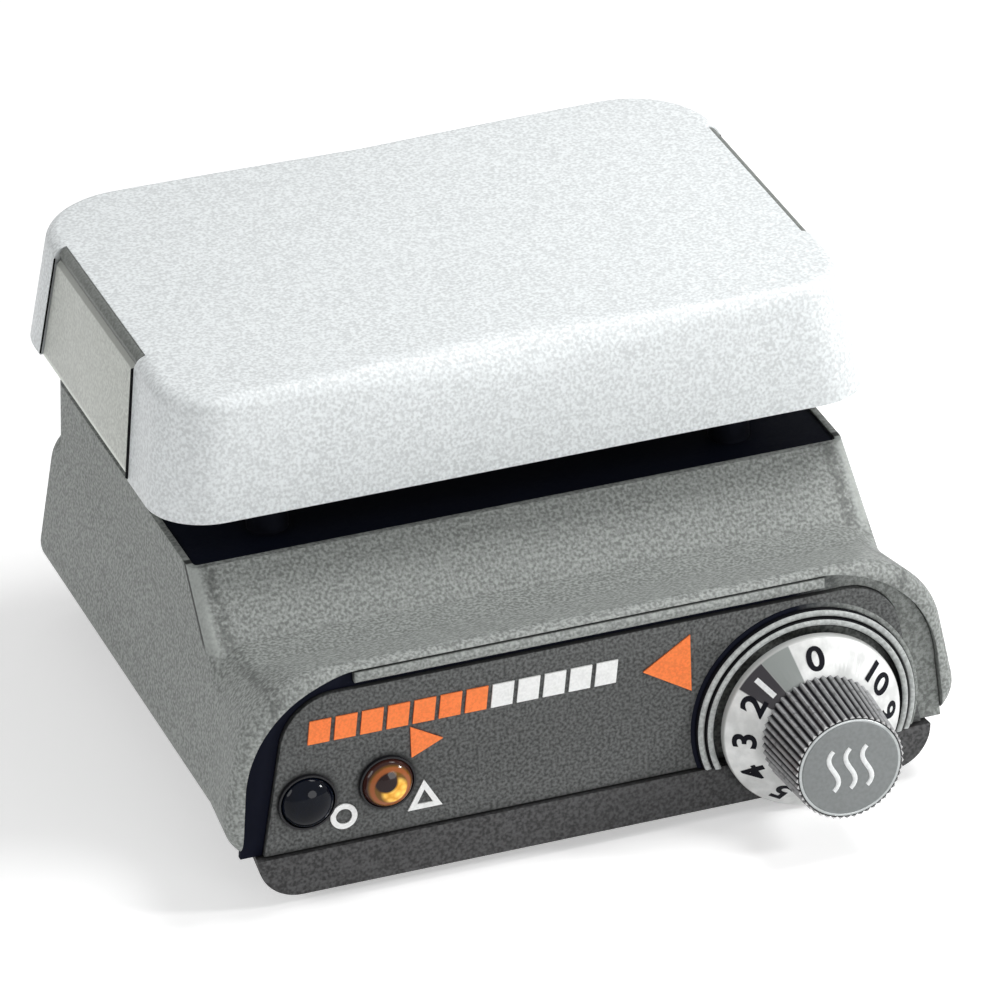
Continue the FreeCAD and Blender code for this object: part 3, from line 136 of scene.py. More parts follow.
class HotPlateSizes(bpy.types.PropertyGroup):
    numeral_height: bpy.props.FloatProperty(
        name="Numeral height", description="Height of the dial's figures", subtype="DISTANCE", unit="LENGTH",
        default=4.6 * MM, min=2.0 * MM, max=6.0 * MM)
    numeral_step: bpy.props.FloatProperty(
        name="Numeral step", description="Turn between two figures on the dial", subtype="ANGLE",
        unit="ROTATION", default=math.radians(30.0), min=math.radians(20), max=math.radians(30))
    edge_round: bpy.props.FloatProperty(
        name="Edge round", description="Width of the soft edges on sheet and moulded pieces",
        subtype="DISTANCE", unit="LENGTH", default=0.35 * MM, min=0.05 * MM, max=1.0 * MM)
    grain_size: bpy.props.FloatProperty(
        name="Paint grain", description="Size of the grain in the housing's textured paint",
        subtype="DISTANCE", unit="LENGTH", default=0.6 * MM, min=0.2 * MM, max=3.0 * MM)


class HotPlateCamera(bpy.types.PropertyGroup):
    focal_length: bpy.props.FloatProperty(
        name="Focal length", description="Focal length on a 36 mm frame, in millimetres",
        default=311.48, min=50.0, max=600.0)
    distance: bpy.props.FloatProperty(
        name="Distance", description="Distance from the frame's origin along the view", subtype="DISTANCE",
        unit="LENGTH", default=1.65708, min=0.5, max=5.0)
    azimuth: bpy.props.FloatProperty(
        name="Azimuth", description="Turn of the view around the upright axis", subtype="ANGLE",
        unit="ROTATION", default=math.radians(-18.726))
    elevation: bpy.props.FloatProperty(
        name="Elevation", description="Height angle of the view", subtype="ANGLE", unit="ROTATION",
        default=math.radians(28.129))
    roll: bpy.props.FloatProperty(
        name="Roll", description="Tilt of the photograph's frame", subtype="ANGLE", unit="ROTATION",
        default=math.radians(-2.087))


# Shared helpers


def deselect_all():
    if bpy.context.object and bpy.context.object.mode != "OBJECT":
        bpy.ops.object.mode_set(mode="OBJECT")
    bpy.ops.object.select_all(action="DESELECT")


def activate(piece):
    deselect_all()
    piece.select_set(True)
    bpy.context.view_layer.objects.active = piece


def apply_modifier(piece, kind, **settings):
    """Adds a modifier to the piece, sets it and applies it."""
    activate(piece)
    modifier = piece.modifiers.new(kind.title(), kind)
    for name, value in settings.items():
        setattr(modifier, name, value)
    bpy.ops.object.modifier_apply(modifier=modifier.name)


def place_in_mesh(piece):
    """Moves the object's place into its mesh, so that the object sits at the origin."""
    activate(piece)
    bpy.ops.object.transform_apply(location=True, rotation=True, scale=True)


def dress(piece, material, body=ROOT_BODY):
    """Gives a finished piece its material and the body that it rides on."""
    piece.data.materials.clear()
    piece.data.materials.append(material)
    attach(piece, body)
    return piece


def refined_copy(node, name, edge_width=0.0, smooth_angle=35.0, segments=2):
    """A merged copy of a CAD node, with smooth shading and soft edges, that stands for the node."""
    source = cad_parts[node]
    mesh = source.data.copy()
    mesh.materials.clear()
    piece = bpy.data.objects.new(name, mesh)
    bpy.context.scene.collection.objects.link(piece)
    activate(piece)
    bpy.ops.object.mode_set(mode="EDIT")
    bpy.ops.mesh.select_all(action="SELECT")
    bpy.ops.mesh.remove_doubles(threshold=0.002 * MM)
    bpy.ops.mesh.customdata_custom_splitnormals_clear()
    bpy.ops.mesh.dissolve_limited(angle_limit=math.radians(0.2))
    bpy.ops.object.mode_set(mode="OBJECT")
    if edge_width:
        apply_modifier(piece, "BEVEL", width=edge_width, segments=segments, limit_method="ANGLE",
                       angle_limit=math.radians(40), harden_normals=False, use_clamp_overlap=True)
    activate(piece)
    bpy.ops.object.shade_smooth_by_angle(angle=math.radians(smooth_angle))
    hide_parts(node)
    return piece


# Node groups that several finishes share


def new_group(name, inputs, outputs):
    """A shader node group with named float, colour or vector sockets."""
    group = bpy.data.node_groups.new(name, "ShaderNodeTree")
    for label, kind, value in inputs:
        socket = group.interface.new_socket(label, in_out="INPUT", socket_type=kind)
        socket.default_value = value
    for label, kind in outputs:
        group.interface.new_socket(label, in_out="OUTPUT", socket_type=kind)
    start = group.nodes.new("NodeGroupInput")
    end = group.nodes.new("NodeGroupOutput")
    return group, start, end


def math_node(tree, operation, first, second=None, clamp=False):
    """A math node on numbers or sockets."""
    node = tree.nodes.new("ShaderNodeMath")
    node.operation = operation
    node.use_clamp = clamp
    for socket, value in zip(node.inputs, (first, second)):
        if value is None:
            continue
        if isinstance(value, bpy.types.NodeSocket):
            tree.links.new(value, socket)
        else:
            socket.default_value = value
    return node.outputs[0]


def mix_colour(tree, share, first, second, blend="MIX"):
    node = tree.nodes.new("ShaderNodeMix")
    node.data_type = "RGBA"
    node.blend_type = blend
    for label, value in (("Factor", share), ("A", first), ("B", second)):
        socket = node.inputs[label]
        if isinstance(value, bpy.types.NodeSocket):
            tree.links.new(value, socket)
        else:
            socket.default_value = value
    return node.outputs["Result"]


def noise(tree, scale, detail=2.0, roughness=0.5):
    """A noise texture on Object coordinates; the scale may be a number or a socket."""
    place = tree.nodes.new("ShaderNodeTexCoord")
    node = tree.nodes.new("ShaderNodeTexNoise")
    node.inputs["Detail"].default_value = detail
    node.inputs["Roughness"].default_value = roughness
    tree.links.new(place.outputs["Object"], node.inputs["Vector"])
    if isinstance(scale, bpy.types.NodeSocket):
        tree.links.new(scale, node.inputs["Scale"])
    else:
        node.inputs["Scale"].default_value = scale
    return node.outputs["Fac"]


def spread(tree, value, low, high, new_low=0.0, new_high=1.0):
    """Stretches a range of a value over another range."""
    node = tree.nodes.new("ShaderNodeMapRange")
    tree.links.new(value, node.inputs["Value"])
    for label, amount in (("From Min", low), ("From Max", high), ("To Min", new_low), ("To Max", new_high)):
        node.inputs[label].default_value = amount
    return node.outputs["Result"]


def build_grain_group():
    """Fine grains of textured paint: a height for bump and a mask of paler grains."""
    group, start, end = new_group(
        "Paint grain",
        [("Scale", "NodeSocketFloat", 1100.0)],
        [("Height", "NodeSocketFloat"), ("Flecks", "NodeSocketFloat"), ("Clouds", "NodeSocketFloat")])
    fine = noise(group, start.outputs["Scale"], detail=3.0, roughness=0.62)
    coarse_scale = math_node(group, "MULTIPLY", start.outputs["Scale"], 0.37)
    coarse = noise(group, coarse_scale, detail=2.0)
    cloud_scale = math_node(group, "MULTIPLY", start.outputs["Scale"], 0.035)
    clouds = noise(group, cloud_scale, detail=3.0)
    both = math_node(group, "ADD", math_node(group, "MULTIPLY", fine, 0.65),
                     math_node(group, "MULTIPLY", coarse, 0.35))
    group.links.new(both, end.inputs["Height"])
    specks = noise(group, start.outputs["Scale"], detail=1.0, roughness=0.4)
    group.links.new(spread(group, specks, 0.34, 0.66), end.inputs["Flecks"])
    group.links.new(spread(group, clouds, 0.3, 0.7), end.inputs["Clouds"])
    return group


def build_wear_group():
    """Where edges stand out, dust settles or pieces meet: masks for rubbed edges, which also give painted
    edge highlights, for dust, and for painted shade in the creases.
    """
    group, start, end = new_group(
        "Edge wear and painted shade",
        [("Amount", "NodeSocketFloat", 0.5)],
        [("Edges", "NodeSocketFloat"), ("Dust", "NodeSocketFloat"), ("Painted crease shade", "NodeSocketFloat")])
    shape = group.nodes.new("ShaderNodeNewGeometry")
    rough = noise(group, 260.0, detail=4.0, roughness=0.7)
    edge = spread(group, shape.outputs["Pointiness"], 0.51, 0.56)
    edge = math_node(group, "MULTIPLY", edge, spread(group, rough, 0.35, 0.65))
    group.links.new(math_node(group, "MULTIPLY", edge, start.outputs["Amount"], True), end.inputs["Edges"])
    hollow = spread(group, shape.outputs["Pointiness"], 0.49, 0.44)
    patches = spread(group, noise(group, 35.0, detail=3.0), 0.4, 0.7)
    dust = math_node(group, "ADD", hollow, math_node(group, "MULTIPLY", patches, 0.35))
    group.links.new(math_node(group, "MULTIPLY", dust, start.outputs["Amount"], True), end.inputs["Dust"])
    # painted shade where pieces meet and in hollows, from ambient occlusion
    around = group.nodes.new("ShaderNodeAmbientOcclusion")
    around.samples = 8
    around.inputs["Distance"].default_value = 2.2 * MM
    group.links.new(spread(group, around.outputs["AO"], 0.92, 0.35), end.inputs["Painted crease shade"])
    return group


def axis_reach(tree, centre):
    """Distance of a point from an axis that runs from front to back, with the place's own coordinates."""
    place = tree.nodes.new("ShaderNodeTexCoord")
    shift = tree.nodes.new("ShaderNodeMapping")
    shift.inputs["Location"].default_value = (-centre.x, 0.0, -centre.z)
    tree.links.new(place.outputs["Object"], shift.inputs["Vector"])
    split = tree.nodes.new("ShaderNodeSeparateXYZ")
    tree.links.new(shift.outputs["Vector"], split.inputs["Vector"])
    square = math_node(tree, "ADD", math_node(tree, "POWER", split.outputs["X"], 2.0),
                       math_node(tree, "POWER", split.outputs["Z"], 2.0))
    return math_node(tree, "SQRT", square), split, shift.outputs["Vector"]


GROUPS = {}


def group_node(tree, name, **inputs):
    """Places a shared group in a material, with its own values."""
    if name not in GROUPS:
        GROUPS[name] = {"Paint grain": build_grain_group, "Edge wear and painted shade": build_wear_group}[name]()
    node = tree.nodes.new("ShaderNodeGroup")
    node.node_tree = GROUPS[name]
    for label, value in inputs.items():
        node.inputs[label].default_value = value
    return node


def start_material(name, roughness, metallic=0.0, **plain):
    """A material with a Principled shader and plain values on its sockets."""
    material = bpy.data.materials.new(name)
    material.use_nodes = True
    shader = material.node_tree.nodes["Principled BSDF"]
    shader.inputs["Roughness"].default_value = roughness
    shader.inputs["Metallic"].default_value = metallic
    for label, value in plain.items():
        shader.inputs[label.replace("_", " ")].default_value = value
    return material, material.node_tree, shader


def bump(tree, shader, height, strength, distance):
    node = tree.nodes.new("ShaderNodeBump")
    node.inputs["Strength"].default_value = strength
    node.inputs["Distance"].default_value = distance
    tree.links.new(height, node.inputs["Height"])
    tree.links.new(node.outputs["Normal"], shader.inputs["Normal"])


def tone(colour, factor):
    """A colour made darker or paler, with full alpha."""
    return tuple(min(c * factor, 1.0) for c in colour[:3]) + (1.0,)


def painted(name, colour, grain, contrast, roughness, depth, wear=0.25, edge_tone=1.35, dust_tone=1.0,
            crease_shade_tone=0.30, shine=0.30):
    """Sprayed paint with a grain of the given size, paler flecks, rubbed edges that also carry a painted
    edge highlight where edge_tone is above one, and painted shade in its creases.
    """
    material, tree, shader = start_material(name, roughness, Specular_IOR_Level=shine)
    grains = group_node(tree, "Paint grain", Scale=1.0 / grain)
    wear_and_shade = group_node(tree, "Edge wear and painted shade", Amount=wear)
    body = mix_colour(tree, grains.outputs["Flecks"],
                      tone(colour, 1.0 - contrast), tone(colour, 1.0 + contrast))
    body = mix_colour(tree, math_node(tree, "MULTIPLY", grains.outputs["Clouds"], 0.10), body,
                      tone(colour, 1.10))
    # edges toned by edge_tone: rubbed paint, and where paler also a painted highlight
    body = mix_colour(tree, wear_and_shade.outputs["Edges"], body, tone(colour, edge_tone))
    body = mix_colour(tree, math_node(tree, "MULTIPLY", wear_and_shade.outputs["Dust"], 0.3), body,
                      tone(colour, dust_tone))
    # painted shade in the creases
    body = mix_colour(tree, wear_and_shade.outputs["Painted crease shade"], body, tone(colour, crease_shade_tone))
    tree.links.new(body, shader.inputs["Base Color"])
    rough = spread(tree, grains.outputs["Height"], 0.3, 0.7, roughness - 0.06, roughness + 0.08)
    tree.links.new(rough, shader.inputs["Roughness"])
    bump(tree, shader, grains.outputs["Height"], 1.0, depth)
    return material


def metal(name, colour, roughness, streak=(30.0, 900.0, 900.0), depth=0.00001):
    """Bare metal with fine drawn streaks."""
    material, tree, shader = start_material(name, roughness, metallic=1.0)
    place = tree.nodes.new("ShaderNodeTexCoord")
    stretch = tree.nodes.new("ShaderNodeMapping")
    stretch.inputs["Scale"].default_value = streak
    lines = tree.nodes.new("ShaderNodeTexNoise")
    lines.inputs["Scale"].default_value = 1.0
    lines.inputs["Detail"].default_value = 4.0
    tree.links.new(place.outputs["Object"], stretch.inputs["Vector"])
    tree.links.new(stretch.outputs["Vector"], lines.inputs["Vector"])
    wear_and_shade = group_node(tree, "Edge wear and painted shade", Amount=0.4)
    body = mix_colour(tree, spread(tree, lines.outputs["Fac"], 0.3, 0.7),
                      tone(colour, 0.86), tone(colour, 1.1))
    # darker in the hollows and in patches
    body = mix_colour(tree, wear_and_shade.outputs["Dust"], body, tone(colour, 0.7))
    tree.links.new(body, shader.inputs["Base Color"])
    tree.links.new(spread(tree, lines.outputs["Fac"], 0.3, 0.7, roughness - 0.08, roughness + 0.1),
                   shader.inputs["Roughness"])
    bump(tree, shader, lines.outputs["Fac"], 0.5, depth)
    return material


def moulded(name, colour, roughness, grain=0.7 * MM, depth=0.00002, **plain):
    """Moulded plastic or rubber with a faint skin texture and dust in its hollows."""
    material, tree, shader = start_material(name, roughness, **plain)
    grains = group_node(tree, "Paint grain", Scale=1.0 / grain)
    wear_and_shade = group_node(tree, "Edge wear and painted shade", Amount=0.35)
    body = mix_colour(tree, grains.outputs["Flecks"], tone(colour, 0.93), tone(colour, 1.07))
    # paler edges: rubbed plastic, and also a painted highlight
    body = mix_colour(tree, wear_and_shade.outputs["Edges"], body, tone(colour, 1.5))
    body = mix_colour(tree, math_node(tree, "MULTIPLY", wear_and_shade.outputs["Dust"], 0.35), body,
                      tone([c * 1.3 + 0.01 for c in colour[:3]], 1.0))
    tree.links.new(body, shader.inputs["Base Color"])
    tree.links.new(spread(tree, grains.outputs["Height"], 0.3, 0.7, roughness - 0.05, roughness + 0.08),
                   shader.inputs["Roughness"])
    bump(tree, shader, grains.outputs["Height"], 0.6, depth)
    return material


def object_axes(tree):
    """The three Object coordinates, apart."""
    place = tree.nodes.new("ShaderNodeTexCoord")
    split = tree.nodes.new("ShaderNodeSeparateXYZ")
    tree.links.new(place.outputs["Object"], split.inputs["Vector"])
    return split.outputs["X"], split.outputs["Y"], split.outputs["Z"]


def stripe(tree, value, middle, half_width, soft):
    """A mask that is one near a middle value and fades over a soft margin."""
    off = math_node(tree, "ABSOLUTE", math_node(tree, "SUBTRACT", value, middle))
    return spread(tree, off, half_width + soft, half_width)


def both_masks(tree, *masks):
    """Masks multiplied together."""
    result = masks[0]
    for mask in masks[1:]:
        result = math_node(tree, "MULTIPLY", result, mask)
    return result


def over_base_colour(tree, shader, mask, colour, blend="MIX"):
    """Lays a colour over whatever feeds the shader's Base Color."""
    before = shader.inputs["Base Color"].links[0].from_socket
    tree.links.new(mix_colour(tree, mask, before, colour, blend), shader.inputs["Base Color"])


def make_housing_paint():
    """Speckled grey paint with painted highlight and painted shade lines at the neck's front corners, and a
    painted shade line across the hood.
    """
    sizes = bpy.context.scene.hot_plate_sizes
    colour = bpy.context.scene.hot_plate_colours.casting
    # paler edges: rubbed paint, and also a painted highlight
    material = painted("Housing paint", colour, sizes.grain_size, 0.38, 0.52, 0.00007, edge_tone=1.7)
    tree = material.node_tree
    shader = tree.nodes["Principled BSDF"]
    across, along, height = object_axes(tree)
    side = math_node(tree, "ABSOLUTE", across)
    behind = math_node(tree, "SUBTRACT", math_node(tree, "SUBTRACT", along, NECK_RIM.y),
                       math_node(tree, "SUBTRACT", height, NECK_RIM.z))
    on_neck = spread(tree, height, 39.5 * MM, 41.5 * MM)
    at_side = spread(tree, side, 62.9 * MM, 63.7 * MM)
    flake = spread(tree, noise(tree, 900.0, detail=2.0), 0.36, 0.56)
    # painted highlight along the rounded front corner of the neck
    light = both_masks(tree, stripe(tree, behind, 0.9 * MM, 1.2 * MM, 0.5 * MM), at_side, on_neck)
    over_base_colour(tree, shader, math_node(tree, "MULTIPLY", light, 0.6), tone(colour, 1.75))
    # painted shade: a dark line beside the neck's corner
    dark = both_masks(tree, stripe(tree, behind, 3.2 * MM, 0.60 * MM, 0.35 * MM), at_side, on_neck)
    over_base_colour(tree, shader, math_node(tree, "MULTIPLY", dark, 0.92), tone(colour, 0.06))
    # stippled painted shade on the neck's front face beside the corner
    shade = both_masks(tree, stripe(tree, side, 61.4 * MM, 0.6 * MM, 1.0 * MM), on_neck, flake,
                       spread(tree, behind, 1.2 * MM, 0.6 * MM))
    over_base_colour(tree, shader, math_node(tree, "MULTIPLY", shade, 0.6), tone(colour, 0.3))
    # painted shade along the hood's crease
    crease = both_masks(tree, stripe(tree, along, HOOD_CREASE_Y, 0.16 * MM, 0.30 * MM),
                        spread(tree, side, 56.0 * MM, 50.0 * MM),
                        spread(tree, height, 44.0 * MM, 45.0 * MM), flake)
    over_base_colour(tree, shader, math_node(tree, "MULTIPLY", crease, 0.75), tone(colour, 0.3))
    return material


def make_end_sheet():
    """Satin grey sheet, with painted shade on its sloping top strip and a painted highlight along its lower
    lip.
    """
    sizes = bpy.context.scene.hot_plate_sizes
    colour = bpy.context.scene.hot_plate_colours.end_panel
    material = painted("End sheet", colour, sizes.grain_size, 0.17, 0.44, 0.00002, wear=0.3, edge_tone=0.8)
    tree = material.node_tree
    shader = tree.nodes["Principled BSDF"]
    _, _, height = object_axes(tree)
    # painted shade on the top strip, where the cover's edge overhangs
    strip = spread(tree, height, END_HIGH.z - 1.9 * MM, END_HIGH.z - 1.5 * MM)
    over_base_colour(tree, shader, math_node(tree, "MULTIPLY", strip, 0.8), tone(colour, 0.72))
    # painted highlight along the lower lip
    lip = spread(tree, height, END_LOW.z + 1.0 * MM, END_LOW.z + 0.5 * MM)
    over_base_colour(tree, shader, math_node(tree, "MULTIPLY", lip, 0.8), tone(colour, 1.5))
    return material


def make_gasket():
    """Seal round the panel: navy black on the left and above, turning to the housing's grey on the right."""
    colour = bpy.context.scene.hot_plate_colours.casting
    material = moulded("Gasket rubber", (0.003, 0.004, 0.010), 0.70, Specular_IOR_Level=0.08)
    tree = material.node_tree
    shader = tree.nodes["Principled BSDF"]
    across, _, _ = object_axes(tree)
    grain = spread(tree, noise(tree, 1500.0, detail=3.0), 0.38, 0.62)
    grey = mix_colour(tree, grain, tone(colour, 0.70), tone(colour, 1.30))
    over_base_colour(tree, shader, spread(tree, across, 40.0 * MM, 52.0 * MM), grey)
    return material


FINISHES = {}


def finish(name):
    """The finish of that name, made once."""
    if name in FINISHES:
        return FINISHES[name]
    colours = bpy.context.scene.hot_plate_colours
    grain = bpy.context.scene.hot_plate_sizes.grain_size
    makers = {
        "cover enamel": lambda: painted("Cover enamel", colours.cover, grain, 0.16, 0.40, 0.00003,
                                        wear=0.12, edge_tone=1.15, crease_shade_tone=0.85),
        "end sheet": make_end_sheet,
        # the end strip's dark grey is painted shade
        "end strip shade": lambda: painted("End strip shade", (0.155, 0.165, 0.155), grain, 0.30, 0.45, 0.00002,
                                    edge_tone=1.2, crease_shade_tone=0.2),
        "housing paint": make_housing_paint,
        "panel paint": lambda: painted("Panel paint", colours.panel, grain, 0.62, 0.55, 0.00004),
        "base moulding": lambda: painted("Base moulding", colours.base, grain, 0.66, 0.55, 0.00004,
                                         edge_tone=1.5),
        "bezel paint": lambda: painted("Bezel paint", (0.007, 0.007, 0.009), grain, 0.16, 0.6, 0.00003,
                                       shine=0.1),
        "ring paint": lambda: painted("Ring paint", (0.42, 0.44, 0.43), grain, 0.20, 0.36, 0.00003,
                                      edge_tone=1.2),
        "gasket rubber": make_gasket,
        "gap shadow black": lambda: moulded("Gap shadow black", (0.003, 0.003, 0.004), 0.7, Specular_IOR_Level=0.08),
        "deck black": lambda: painted("Deck black", (0.0010, 0.0022, 0.0075), grain, 0.10, 0.7, 0.00003,
                                      shine=0.1),
        "black ring": lambda: moulded("Black ring", (0.006, 0.006, 0.008), 0.35, Specular_IOR_Level=0.3),
        "orange print": lambda: painted("Orange print", colours.marks, 0.8 * grain, 0.10, 0.5, 0.00002,
                                        crease_shade_tone=1.0),
        "white print": lambda: painted("White print", (0.80, 0.81, 0.80), 0.8 * grain, 0.06, 0.5, 0.00002,
                                       crease_shade_tone=1.0),
        "black print": lambda: moulded("Black print", (0.004, 0.004, 0.007), 0.6, Specular_IOR_Level=0.1),
        "pale print": lambda: moulded("Pale print", (0.74, 0.76, 0.76), 0.4),
        "dial face": make_dial_face,
        "grip plastic": make_grip,
        "cap plastic": lambda: moulded("Cap plastic", (0.185, 0.198, 0.198), 0.42),
        "cap rim": lambda: metal("Cap rim", (0.40, 0.42, 0.42), 0.4),
        "steel": lambda: metal("Steel", (0.55, 0.55, 0.54), 0.34),
        "heat-dark steel": lambda: metal("Heat-dark steel", (0.010, 0.011, 0.016), 0.6),
        "element steel": lambda: metal("Element steel", (0.20, 0.19, 0.18), 0.5),
        "insulation wool": lambda: painted("Insulation wool", (0.78, 0.76, 0.72), 3.0 * grain, 0.15, 0.9,
                                           0.0002, crease_shade_tone=0.8),
        "lamp body": lambda: moulded("Lamp body", (0.55, 0.55, 0.52), 0.5),
        "control body": lambda: moulded("Control body", (0.03, 0.03, 0.03), 0.5),
        "brass": lambda: metal("Brass", (0.60, 0.45, 0.20), 0.35),
        "block ceramic": lambda: moulded("Block ceramic", (0.78, 0.77, 0.72), 0.4),
        "inlet plastic": lambda: moulded("Inlet plastic", (0.018, 0.018, 0.018), 0.4),
        "lead jacket": lambda: moulded("Lead jacket", (0.60, 0.58, 0.52), 0.6),
        "foot rubber": lambda: moulded("Foot rubber", (0.02, 0.02, 0.02), 0.75),
        "amber lens": make_amber_lens,
        "dark lens": make_dark_lens,
    }
    FINISHES[name] = makers[name]()
    return FINISHES[name]


def make_dial_face():
    """Silvery white disc with two sectors of painted shade, a grey one and a dark one."""
    material, tree, shader = start_material("Dial face", 0.36)
    reach, split, _ = axis_reach(tree, DIAL_CENTRE)
    turn = math_node(tree, "ARCTAN2", split.outputs["Z"], split.outputs["X"])
    mottle = noise(tree, 260.0, detail=4.0)
    body = mix_colour(tree, spread(tree, mottle, 0.35, 0.65),
                      (0.62, 0.63, 0.62, 1.0), (0.86, 0.87, 0.86, 1.0))
    # the grey and the dark sector: painted shade
    for start, stop, colour in (SHADE_SECTOR, DEEP_SHADE_SECTOR):
        inside = math_node(tree, "MULTIPLY",
                           spread(tree, turn, math.radians(start - 0.4), math.radians(start + 0.4)),
                           spread(tree, turn, math.radians(stop + 0.4), math.radians(stop - 0.4)))
        body = mix_colour(tree, inside, body, colour)
    rim = spread(tree, reach, DIAL_RADIUS - 0.25 * MM, DIAL_RADIUS - 0.05 * MM)
    body = mix_colour(tree, rim, body, (0.45, 0.46, 0.45, 1.0))
    tree.links.new(body, shader.inputs["Base Color"])
    bump(tree, shader, mottle, 0.3, 0.00002)
    return material


def make_grip():
    """Dark grip with pale ridges and near-black grooves: painted highlight on the ridges and painted shade
    in the grooves.
    """
    material, tree, shader = start_material("Grip plastic", 0.40, Specular_IOR_Level=0.3)
    reach, split, _ = axis_reach(tree, DIAL_CENTRE)
    front_radius = GRIP_RADIUS - GRIP_TAPER
    along = spread(tree, split.outputs["Y"], GRIP_HIGH.y, GRIP_LOW.y, GRIP_RADIUS, front_radius)
    ridge = spread(tree, math_node(tree, "SUBTRACT", along, reach), 0.42 * MM, 0.16 * MM)
    grain = noise(tree, 900.0, detail=3.0)
    ridge = math_node(tree, "MULTIPLY", ridge, spread(tree, grain, 0.1, 0.5))
    body = mix_colour(tree, ridge, (0.004, 0.003, 0.006, 1.0), (0.36, 0.365, 0.37, 1.0))
    # the front end: painted shadow in the groove round the cap, and painted highlights on the ends of the
    # ridges
    front = spread(tree, split.outputs["Y"], GRIP_LOW.y + 0.25 * MM, GRIP_LOW.y + 0.10 * MM)
    tips = spread(tree, reach, front_radius - 0.45 * MM, front_radius - 0.30 * MM)
    face = mix_colour(tree, tips, (0.003, 0.003, 0.004, 1.0), (0.55, 0.55, 0.55, 1.0))
    body = mix_colour(tree, front, body, face)
    tree.links.new(body, shader.inputs["Base Color"])
    bump(tree, shader, grain, 0.4, 0.00002)
    return material


def make_amber_lens():
    """Amber lens: brown rim, a bright crescent of painted light low on the right and a dark heart of painted
    shade.
    """
    colour = bpy.context.scene.hot_plate_colours.amber
    material, tree, shader = start_material("Amber lens", 0.10, Specular_IOR_Level=0.25)
    low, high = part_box("amber_lens")
    centre = (low + high) / 2
    radius = (high.x - low.x) / 2
    reach, _, vector = axis_reach(tree, centre)
    heart, _, _ = axis_reach(tree, centre + Vector((-0.20, 0.0, 0.30)) * radius)
    glow, _, _ = axis_reach(tree, centre + Vector((0.14, 0.0, -0.16)) * radius)
    facets = tree.nodes.new("ShaderNodeTexVoronoi")
    facets.inputs["Scale"].default_value = 700.0
    tree.links.new(vector, facets.inputs["Vector"])
    sparkle = spread(tree, facets.outputs["Distance"], 0.15, 0.7)
    bright = mix_colour(tree, sparkle, (1.0, 0.62, 0.12, 1.0), tone(colour, 0.85))
    # painted light: the bright crescent low on the right
    body = mix_colour(tree, spread(tree, glow, 0.60 * radius, 0.44 * radius), tone(colour, 0.16), bright)
    # painted shade: the dark heart up on the left
    body = mix_colour(tree, spread(tree, heart, 0.50 * radius, 0.40 * radius), body,
                      (0.012, 0.003, 0.003, 1.0))
    ring = math_node(tree, "MULTIPLY", spread(tree, reach, 0.62 * radius, 0.68 * radius),
                     spread(tree, reach, 0.84 * radius, 0.78 * radius))
    body = mix_colour(tree, ring, body, tone((0.26, 0.075, 0.02), 1.0))
    body = mix_colour(tree, spread(tree, reach, 0.82 * radius, 0.90 * radius), body,
                      (0.030, 0.010, 0.008, 1.0))
    tree.links.new(body, shader.inputs["Base Color"])
    tree.links.new(body, shader.inputs["Emission Color"])
    shader.inputs["Emission Strength"].default_value = 0.25
    bump(tree, shader, facets.outputs["Distance"], 0.25, 0.0001)
    return material


def make_dark_lens():
    """Glossy black dome with a faint depth of blue."""
    material, tree, shader = start_material("Dark lens", 0.06, Specular_IOR_Level=0.14)
    haze = spread(tree, noise(tree, 180.0, detail=3.0), 0.35, 0.7)
    body = mix_colour(tree, haze, (0.001, 0.002, 0.005, 1.0), (0.003, 0.005, 0.012, 1.0))
    tree.links.new(body, shader.inputs["Base Color"])
    return material


def dressed_copy(node, name, slot, look, body=ROOT_BODY, **shape):
    """A refined copy of a CAD node with its finish and the body that it rides on; the slot argument is not
    used.
    """
    return dress(refined_copy(node, name, **shape), finish(look), body)


# Operators, one for each piece or group of like pieces


class HOTPLATE_OT_housing(bpy.types.Operator):
    """Cast housing with its textured paint, its base pan and the four feet"""

    bl_idname = "hot_plate.housing"
    bl_label = "Housing"

    def execute(self, context):
        edge = context.scene.hot_plate_sizes.edge_round
        dressed_copy("upper_housing", "housing_casting", "grey_cast", "housing paint",
                     edge_width=1.6 * edge, smooth_angle=38.0)
        dressed_copy("base_pan", "base_moulding", "dark_base", "base moulding", edge_width=edge)
        dressed_copy("feet", "rubber_feet", "foot_rubber", "foot rubber", edge_width=1.2 * edge)
        return {"FINISHED"}


def swept_strip(name, outline, start_y, end_y):
    """A strip of one section, drawn along the depth; the outline is in X and Z."""
    deselect_all()
    bpy.ops.mesh.primitive_circle_add(vertices=len(outline), radius=1.0, fill_type="NGON")
    strip = bpy.context.object
    strip.name = name
    for vertex, (x, z) in zip(strip.data.vertices, outline):
        vertex.co = (x, start_y, z)
    bpy.ops.object.mode_set(mode="EDIT")
    bpy.ops.mesh.select_all(action="SELECT")
    bpy.ops.mesh.extrude_region_move(TRANSFORM_OT_translate={"value": (0.0, end_y - start_y, 0.0)})
    bpy.ops.mesh.select_all(action="SELECT")
    bpy.ops.mesh.normals_make_consistent(inside=False)
    bpy.ops.object.mode_set(mode="OBJECT")
    apply_modifier(strip, "BEVEL", width=0.12 * MM, segments=2, limit_method="ANGLE",
                   angle_limit=math.radians(40))
    bpy.ops.object.shade_smooth_by_angle(angle=math.radians(40.0))
    return strip


def seam_line(name, start, end, radius):
    """A thin round dark cord from one point to another, rounded at its ends, laid as painted shadow in a
    gap.
    """
    start, end = Vector(start), Vector(end)
    deselect_all()
    bpy.ops.mesh.primitive_cylinder_add(vertices=16, radius=radius, depth=(end - start).length,
                                        location=(start + end) / 2,
                                        rotation=(end - start).to_track_quat("Z", "Y").to_euler())
    line = bpy.context.object
    line.name = name
    place_in_mesh(line)
    apply_modifier(line, "BEVEL", width=0.6 * radius, segments=2, limit_method="ANGLE",
                   angle_limit=math.radians(60))
    bpy.ops.object.shade_smooth_by_angle(angle=math.radians(50.0))
    return line


